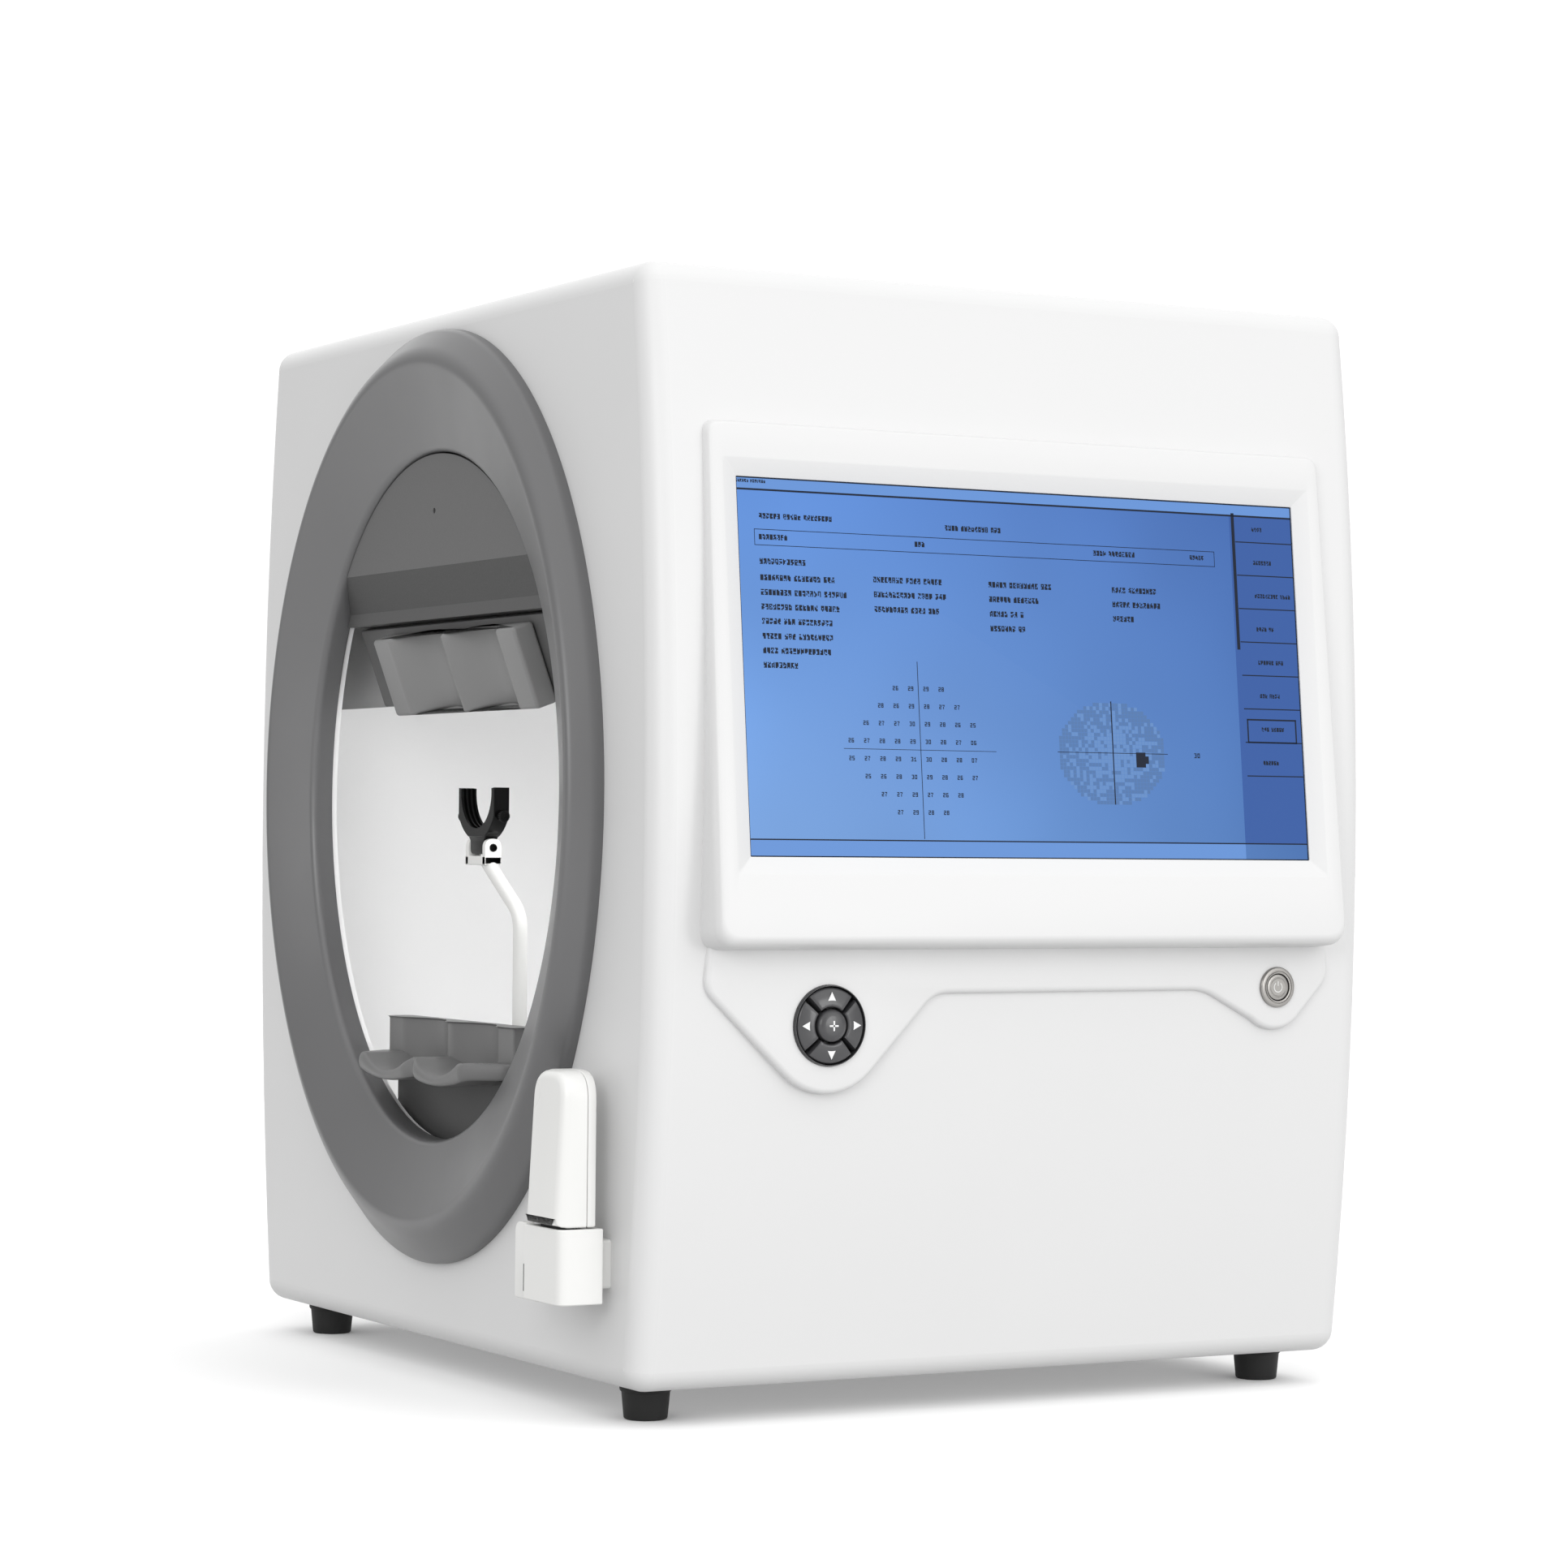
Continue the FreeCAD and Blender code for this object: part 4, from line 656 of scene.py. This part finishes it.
fascia_corners = np.array([(-193, -142.5), (193, -142.5), (189.5, 125), (-189.5, 125)])
inner_corners = np.array([(-172.1, -96.8), (172.1, -96.8), (172.1, 96.8), (-172.1, 96.8)])
border = 8.5 * np.array([(-1, -1), (1, -1), (1, 1), (-1, 1)])


def frame_loops(stations):
    """Loops through four corners each, rounded by reach: screen centre + u Y + v up + height out."""
    rings = []
    for corners, reach, height in stations:
        flat = round_path(corners, reach, steps=8)
        rings.append(flat[:, :1] * np.array([0, 1.0, 0]) + flat[:, 1:] * screen_up + height * screen_out
                     + screen_centre)
    return np.stack(rings)


ledge = np.linspace(0, np.pi / 2, 7)
fascia_reach = np.array([11.0, 11.0, 7.0, 7.0])
stations = [(fascia_corners, fascia_reach, -34.0), (fascia_corners, fascia_reach, -3.5)]
stations += [(fascia_corners - np.sign(fascia_corners) * np.array([[3.0, 5.5]] * 2 + [[2.5, 2.5]] * 2)
              * (1 - np.cos(a)), fascia_reach, -3.5 + 7.0 * np.sin(a)) for a in ledge[1:]]
stations += [(inner_corners + border + border * 0.12, 2.0, 3.5), (inner_corners + border, 1.6, 3.2),
             (inner_corners + border * 0.08, 0.6, 0.2), (inner_corners, 0.6, -0.2),
             (inner_corners, 0.6, -0.98), (fascia_corners * 0.95, 8.0, -0.98),
             (fascia_corners * 0.95, 8.0, -34.0)]
white_moulding = satin_paint("satin_white_moulded_abs", "DADADA", roughness=0.38, grain_mm=0.8, depth=0.012)
piece("operator_screen_fascia", [skin(frame_loops(stations), close_rows=True)], white_moulding, "root",
      ["operator_fascia"], crease=38)


# ---- Control panel ----
# A raised white panel under the ledge, deeper round the keypad and the push button. It is one moulding with
# a soft rolled edge, and it follows the ledge above and dips in two lobes below.

def lobe(centre, middle, radius, first, last):
    """Ten points of a circle's arc between two angles in degrees: centre + radius (cos a, sin a)."""
    turn_to = np.radians(np.linspace(first, last, 10))
    return np.stack([centre + radius * np.cos(turn_to), middle + radius * np.sin(turn_to)], 1)


panel_corners = np.vstack([(-188, 233), (-191, 203.5), lobe(-119.5, 185.9, 36, -134, -46), (-56, 200.5),
                           (112, 200.8), lobe(158.5, 201.0, 22, -131, -49), (194, 206.5), (192, 233)])
panel_reach = [1, 7] + [1] * 10 + [8, 8] + [1] * 10 + [7, 1]
panel_outline = round_path(panel_corners, panel_reach, steps=6)
panel_face = 267.0


def on_panel(height):
    """The stance of a bar that stands on the control panel, its foot height mm above the face."""
    return {"right": (0, 1, 0), "out": (1, 0, 0), "at": (panel_face + height, 0, 0)}


edge_turn = np.linspace(0, np.pi / 2, 7)
panel_steps = [(-12.0, 0.0)] + [(-3.0 + 3.0 * np.sin(a), 3.0 - 3.0 * np.cos(a)) for a in edge_turn]
panel = carried(panel_outline, panel_steps, **on_panel(0))


def with_holes(loops, centres):
    """Closes a stack of loops at its low end and fills its high end around round holes, each
    (u, v, radius, depth): a wall goes down each hole to its floor. The face is split into triangles
    between the outline and the holes."""
    points, faces = skin(loops, cap_ends=False)
    count, last = loops.shape[1], (len(loops) - 1) * loops.shape[1]
    faces.append(list(range(count)))
    sides = 64
    angle = np.linspace(0, 2 * np.pi, sides + 1)[:-1]
    rings, where = [loops[-1]], [last + np.arange(count)]
    for u, v, radius, depth in centres:
        rim = np.stack([np.full(sides, loops[-1, 0, 0]), u + radius * np.cos(angle),
                        v + radius * np.sin(angle)], 1)
        top = len(points) + np.arange(sides)
        low = top + sides
        points = np.vstack([points, rim, rim - [depth, 0, 0]])
        faces += np.stack([top, np.roll(top, -1), np.roll(low, -1), low], 1).tolist() + [low.tolist()]
        rings.append(rim)
        where.append(top)
    where = np.concatenate(where)
    flat = tessellate_polygon([[Vector((0, *spot[1:])) for spot in ring] for ring in rings])
    return points, faces + [[int(where[corner]) for corner in triangle] for triangle in flat]


pad_y, pad_z, power_y, power_z = -119.5, 185.0, 159.0, 202.0
holes = [(pad_y, pad_z, 21.0, 9.0), (power_y, power_z, 9.5, 9.0)]
piece("control_panel_moulding", [with_holes(panel, holes)], white_moulding, "root", ["control_panel"])


# ---- Keypad ----
# A gloss charcoal bezel pressed into the panel, four rubber keys that slope out to it, split by diagonal
# grooves, and a domed key in the middle. The arrows and the cross are pad-printed white.

def gloss_rubber(name, code, roughness):
    """Lacquered silicone rubber: smooth, with a low gloss that a fingertip cloud of 12 mm breaks up."""
    made, tree = new_material(name)
    where = add(tree, "ShaderNodeTexCoord").outputs["Object"]
    smear = add(tree, "ShaderNodeTexNoise", {"Scale": 85.0, "Detail": 4.0, "Distortion": 0.6}, Vector=where)
    gloss = add(tree, "ShaderNodeMapRange", {"From Min": 0.35, "From Max": 0.65, "To Min": roughness - 0.06,
                                             "To Max": roughness + 0.08}, Value=smear.outputs["Fac"])
    surface(tree, {"Base Color": linear(code), "IOR": 1.46, "Coat Weight": 0.35, "Coat Roughness": 0.12},
            Roughness=gloss.outputs["Result"])
    return made


key_rubber = gloss_rubber("lacquered_charcoal_silicone_rubber", "3A3A3C", 0.34)
bezel_plastic = gloss_rubber("gloss_charcoal_abs", "2C2C2E", 0.24)
pad_print = satin_paint("satin_white_pad_printing_ink", "E8E8E8", roughness=0.4, grain_mm=0.4, depth=0.002)
bezel = [(-8.0, 20.0), (-8.0, 20.9), (0.6, 20.9), (1.6, 20.7), (2.0, 20.4), (2.0, 20.2), (1.4, 19.95),
         (-8.0, 19.9)]
angle = np.linspace(0, 2 * np.pi, 97)[:-1]
along, radius = np.array(bezel).T[..., None]
bezel_ring = np.stack(np.broadcast_arrays(panel_face + along, pad_y + radius * np.cos(angle),
                                          pad_z + radius * np.sin(angle)), -1)
piece("keypad_bezel_ring", [skin(bezel_ring, close_rows=True)], bezel_plastic, "root", ["keypad_bezel"])

# one key in (radius, turn) about the pad: its top falls from 3.2 mm at the inner edge to 1.7 at the rim, and
# a border all round it is rolled down 1.3 mm more as a quarter circle
share = np.concatenate([[0, 0.02, 0.06], np.linspace(0.12, 0.88, 14), [0.94, 0.98, 1]])
count = len(share)
radius = 9.4 + (19.5 - 9.4) * share[:, None]
swing = np.radians(43.0) * (2 * share[None] - 1) - np.sign(2 * share[None] - 1) * 0.55 / radius
inside = np.minimum(share, 1 - share)
border = np.minimum(inside[None] * 2.6, inside[:, None] * 1.2)
roll = np.sqrt(np.clip(1 - (1 - np.clip(border / 0.12, 0, 1)) ** 2, 0, 1))
key_top = 1.9 + 1.3 * roll - 1.5 * share[:, None] ** 2
key_foot = -6.4
for key_name, heading in (("right", 0), ("up", 90), ("left", 180), ("down", 270)):
    turn_to = np.radians(heading) + swing
    flat = np.stack([pad_y + radius * np.cos(turn_to), pad_z + radius * np.sin(turn_to)], -1)
    top = np.concatenate([panel_face + key_top[..., None], flat], -1)
    edge = np.concatenate([np.arange(count), (np.arange(1, count) + 1) * count - 1,
                           (count - 1) * count + np.arange(count - 2, -1, -1),
                           np.arange(count - 2, 0, -1) * count])
    rim = top.reshape(-1, 3)[edge]
    points = np.vstack([top.reshape(-1, 3), np.where([True, False, False], panel_face + key_foot, rim)])
    low = count * count + np.arange(len(edge))
    square = (np.arange(count - 1)[:, None] * count + np.arange(count - 1)).ravel()
    faces = np.stack([square, square + 1, square + count + 1, square + count], 1).tolist()
    faces += np.stack([edge, low, np.roll(low, -1), np.roll(edge, -1)], 1).tolist() + [low.tolist()]
    key = "key_" + key_name
    piece(key + "_cap", [(points, faces)], key_rubber, key, [key], crease=50)
    tip = np.radians(heading) + np.array([0, 2.2, -2.2])
    arrow = (np.array([pad_y, pad_z]) + 14.3 * np.array([np.cos(tip[0]), np.sin(tip[0])])
             + 2.9 * np.stack([np.cos(tip), np.sin(tip)], 1))
    piece(key + "_arrow", [bar(arrow, 0, 0.22, radius=0.02, steps=1, **on_panel(2.8))], pad_print, key)
dome = [(key_foot, 0), (key_foot, 8.4)]
dome += [(2.4 + 2.6 * np.sin(a), 5.2 + 3.2 * np.cos(a)) for a in np.linspace(0, 1.25, 8)]
dome += [(5.0 + 0.35 * (1 - (r / 6.2) ** 2), r) for r in np.linspace(5.6, 0, 7)]
piece("key_centre_cap", [turned(dome, 64, (1, 0, 0), (panel_face, pad_y, pad_z))], key_rubber, "key_centre",
      ["key_centre"], crease=50)
for part_name, arm in (("level", oblong(-2.6, 2.6, -0.45, 0.45, 0.3)),
                       ("upright", oblong(-0.45, 0.45, -2.6, 2.6, 0.3))):
    piece("key_centre_mark_" + part_name, [bar(arm + [pad_y, pad_z], 0, 0.2, radius=0.02, steps=1,
                                               **on_panel(5.25))], pad_print, "key_centre")


# ---- Push button ----
# A 22 mm panel button turned from stainless steel: a flange with a radiused edge, a fine ring groove, and
# a cap with a power mark filled with light enamel. The turning leaves circular brush lines.

turned_steel, tree = new_material("turned_stainless_steel")
where = add(tree, "ShaderNodeTexCoord").outputs["Object"]
centred = add(tree, "ShaderNodeMapping",
              {"Location": tuple(-placed([0, power_y, power_z]) * [0, 1, 1])}, Vector=where)
split = add(tree, "ShaderNodeSeparateXYZ", Vector=centred.outputs["Vector"])
flat = add(tree, "ShaderNodeCombineXYZ", Y=split.outputs["Y"], Z=split.outputs["Z"])
span = add(tree, "ShaderNodeVectorMath", {"operation": "LENGTH"}, n0=flat.outputs["Vector"])
rings = add(tree, "ShaderNodeTexNoise", {"noise_dimensions": "1D", "Scale": 5200.0, "Detail": 2.0},
            W=span.outputs["Value"])
gloss = add(tree, "ShaderNodeMapRange", {"To Min": 0.22, "To Max": 0.42}, Value=rings.outputs["Fac"])
cut_lines = add(tree, "ShaderNodeBump", {"Strength": 1.0, "Distance": 0.000008}, Height=rings.outputs["Fac"])
surface(tree, {"Base Color": linear("918F8C"), "Metallic": 1.0, "Anisotropic": 0.4},
        Roughness=gloss.outputs["Result"], Normal=cut_lines.outputs["Normal"])
power_centre = (panel_face, power_y, power_z)
flange = [(-8, 0), (-6.0, 0), (-5.9, 7.3), (1.2, 7.3), (1.9, 7.5), (1.95, 8.1), (1.5, 8.3), (1.5, 8.7),
          (1.95, 8.9), (2.0, 10.0), (1.8, 10.5), (1.3, 10.9), (0.5, 11), (0, 10.9), (0, 9.4), (-8, 9.4)]
piece("power_button_flange", [turned(flange, 96, (1, 0, 0), power_centre)], turned_steel, "root",
      ["power_button_body"], crease=28)
cap = [(-3.5, 0), (-3.5, 7.0), (1.0, 7.0), (1.45, 6.8), (1.6, 6.4), (1.6, 5.4), (1.35, 5.2), (1.35, 4.8),
       (1.6, 4.6), (1.6, 0)]
piece("power_button_plunger", [turned(cap, 96, (1, 0, 0), power_centre)], turned_steel, "power_cap",
      ["power_button_cap"], crease=28)
enamel_grey = satin_paint("gloss_light_enamel_fill", "D8D8D6", roughness=0.25, grain_mm=0.5, depth=0.001)
arc = np.radians(np.linspace(125, 415, 41))[:, None]
lift, radius = np.array([(1.62, 2.3), (1.74, 2.3), (1.74, 2.9), (1.62, 2.9)]).T
ring_band = np.stack(np.broadcast_arrays(panel_face + lift, power_y + radius * np.cos(arc),
                                         power_z + radius * np.sin(arc)), -1)
stroke = oblong(-0.3, 0.3, 0.7, 3.3, 0.2) + [power_y, power_z]
piece("power_button_mark", [skin(ring_band), bar(stroke, 0, 0.14, radius=0.02, steps=1, **on_panel(1.6))],
      enamel_grey, "power_cap")


# ---- Response handset ----
# Two smooth white ABS shells screwed together: the front one rounded over and deeper towards its foot, the
# back one with a tongue that drops into the holder. A black thumb key fills the lower end.

handset_white = satin_paint("smooth_white_moulded_abs", "E6E6E4", roughness=0.3, grain_mm=1.5, depth=0.006)
handset_x, parting_y = 207.5, -235.5
parting = (handset_x, parting_y, 0)
arch = round_path([(-19, 83), (19, 83), (19, 162), (-19, 162)], [1.5, 1.5, 15, 15], steps=12)
bend = np.linspace(0, np.pi / 2, 6)
front_steps = [(0.15, 0.35), (0.5, 0.0), (8.0, 0.0), (9.0, 0.3)]
front_steps += [(9.0 + 4.0 * np.sin(a), 0.3 + 4.5 * (1 - np.cos(a))) for a in bend[1:]]
front_cover = carried(arch, front_steps, at=parting)
# the cover grows 4.5 mm deeper towards its foot: y is stretched from the parting line by (163 - z) / 80
deeper = 1 + 4.5 / 13 * (163 - front_cover[..., 2]) / 80
front_cover[..., 1] = parting_y + (front_cover[..., 1] - parting_y) * deeper
piece("handset_front_cover", [skin(front_cover)], handset_white, "handset",
      ["handset_front_shell"], crease=30)
back_steps = [(-0.15, 0.35), (-0.5, 0.0), (-3.5, 0.0), (-4.6, 0.4), (-5.0, 1.4)]
tongue = oblong(-10, 10, 49.5, 84, 1.5)
piece("handset_back_cover", [skin(carried(arch, back_steps, at=parting)),
                             bar(tongue, 0.3, 4.0, radius=0.6, out=(0, 1, 0), at=parting)],
      handset_white, "handset", ["handset_back_shell"], crease=30)
black_abs = satin_paint("satin_black_moulded_abs", "1C1C1C", roughness=0.4, grain_mm=0.6, depth=0.01)
thumb = oblong(-15, 15, -4, 4, 2.5)
piece("handset_thumb_key", [bar(thumb, 56, 90, radius=1.2, at=(handset_x, -242, 0), **upright)], black_abs,
      "response_button", ["response_button"])


# ---- Handset holder ----
# A white moulded ABS pocket, open at the top, with one corner rounded more than the others and a slotted wing
# at its left. A square boss behind it is screwed to the cabinet's front wall.

pocket_corners = [(-20.5, -12.5), (20.5, -12.5), (20.5, 12.5), (-20.5, 12.5)]
pocket_outline = round_path(pocket_corners, [1.0, 5.5, 1.0, 1.0], steps=6)
pocket_steps = [(44.3, 0.4), (44.8, 0.0), (81.8, 0.0), (82.3, 0.4), (82.4, 0.8), (82.4, 1.6), (82, 2.2),
                (81.4, 2.45), (47, 2.45)]
wing = round_path([(-33, 44), (-20.0, 44), (-20.0, 83), (-33, 83)], [2, 0.5, 0.5, 6.0], steps=6)
piece("handset_pocket", [
    skin(carried(pocket_outline, pocket_steps, at=(handset_x, -239.5, 0), **upright)),
    bar(wing, -5.0, 0, radius=0.6, out=(0, 1, 0), at=(handset_x, -246.0, 0)),
    bar(oblong(-13, 13, 51, 76, 2), -8.4, 0, radius=0.4, out=(0, 1, 0), at=(handset_x, -218.8, 0))],
    handset_white, "root", ["handset_holder"])
# the slot in the wing is filled with a matt black strip: painted shade standing for the dark inside of the
# slot
slot_painted_shade = satin_paint("matt_black_painted_slot_shade", "0C0C0C", roughness=0.9, grain_mm=0.6, depth=0.004)
slot_outline = oblong(-21.6, -20.2, 48, 62, 0.4)
piece("handset_pocket_slot_painted_shade", [bar(slot_outline, 0, 4.0, radius=0.05, steps=1, out=(0, 1, 0),
                                  at=(handset_x, -251.6, 0))], slot_painted_shade, "root")


# ---- Feet and rear fittings ----
# Four tapered feet of black moulded rubber, each with a sunk screw hole, and at the rear the fan, the mains
# inlet, the data ports and six zinc-plated pan-head screws. The equipment inside gets its plain metals here.

black_rubber = satin_paint("matt_black_moulded_rubber", "1A1A1A", roughness=0.62, grain_mm=0.5, depth=0.03,
                           specular=0.35)
foot = [(-10, 0), (-10, 4.4), (-17.6, 4.5), (-18, 5.0), (-18, 10.4), (-17.4, 11.2), (-16.6, 11.4),
        (-4.0, 12.6), (-3.2, 13.4), (-2.4, 13.6), (-0.02, 13.6), (-0.02, 0)]
piece("tapered_feet", [turned(foot, 56, (0, 0, 1), (206 * way, 191 * side, 0)) for way in (-1, 1)
                       for side in (-1, 1)], black_rubber, "root", ["rubber_feet"], crease=34)


def bare_metal(name, code, low, high, grain_mm):
    """Metal whose gloss differs from grain to grain: Voronoi cells of one size in mm, each with its own
    roughness between low and high."""
    made, tree = new_material(name)
    where = add(tree, "ShaderNodeTexCoord").outputs["Object"]
    grains = add(tree, "ShaderNodeTexVoronoi", {"Scale": 1000 / grain_mm}, Vector=where)
    gloss = add(tree, "ShaderNodeMapRange", {"To Min": low, "To Max": high}, Value=grains.outputs["Distance"])
    surface(tree, {"Base Color": linear(code), "Metallic": 1.0}, Roughness=gloss.outputs["Result"])
    return made


finish(bare_metal("zinc_plated_steel", "B9BDC1", 0.25, 0.42, 4.0), "rear_cover_screws", "base_plate",
       "bowl_cradle", "display_bracket", "equipment_stand", "power_button_nut", "power_supply")
finish(bare_metal("ground_steel", "9A9CA0", 0.12, 0.24, 1.0), "cross_rails", "lift_rods", "lift_screw",
       "cross_screw")
finish(bare_metal("milled_aluminium", "C6C8CA", 0.28, 0.4, 2.0), "lift_carriage", "cross_carriage",
       "rail_blocks")
finish(black_abs, "room_light_sensor", "mains_inlet", "port_block", "lift_motor", "cross_motor",
       "fixation_camera", "stimulus_projector", "projector_lens", "fan_frame", "fan_rotor", "lcd_panel")
solder_mask = satin_paint("gloss_green_solder_mask", "1E5A36", roughness=0.25, grain_mm=0.8, depth=0.01)
finish(solder_mask, "main_board", "keypad_board")
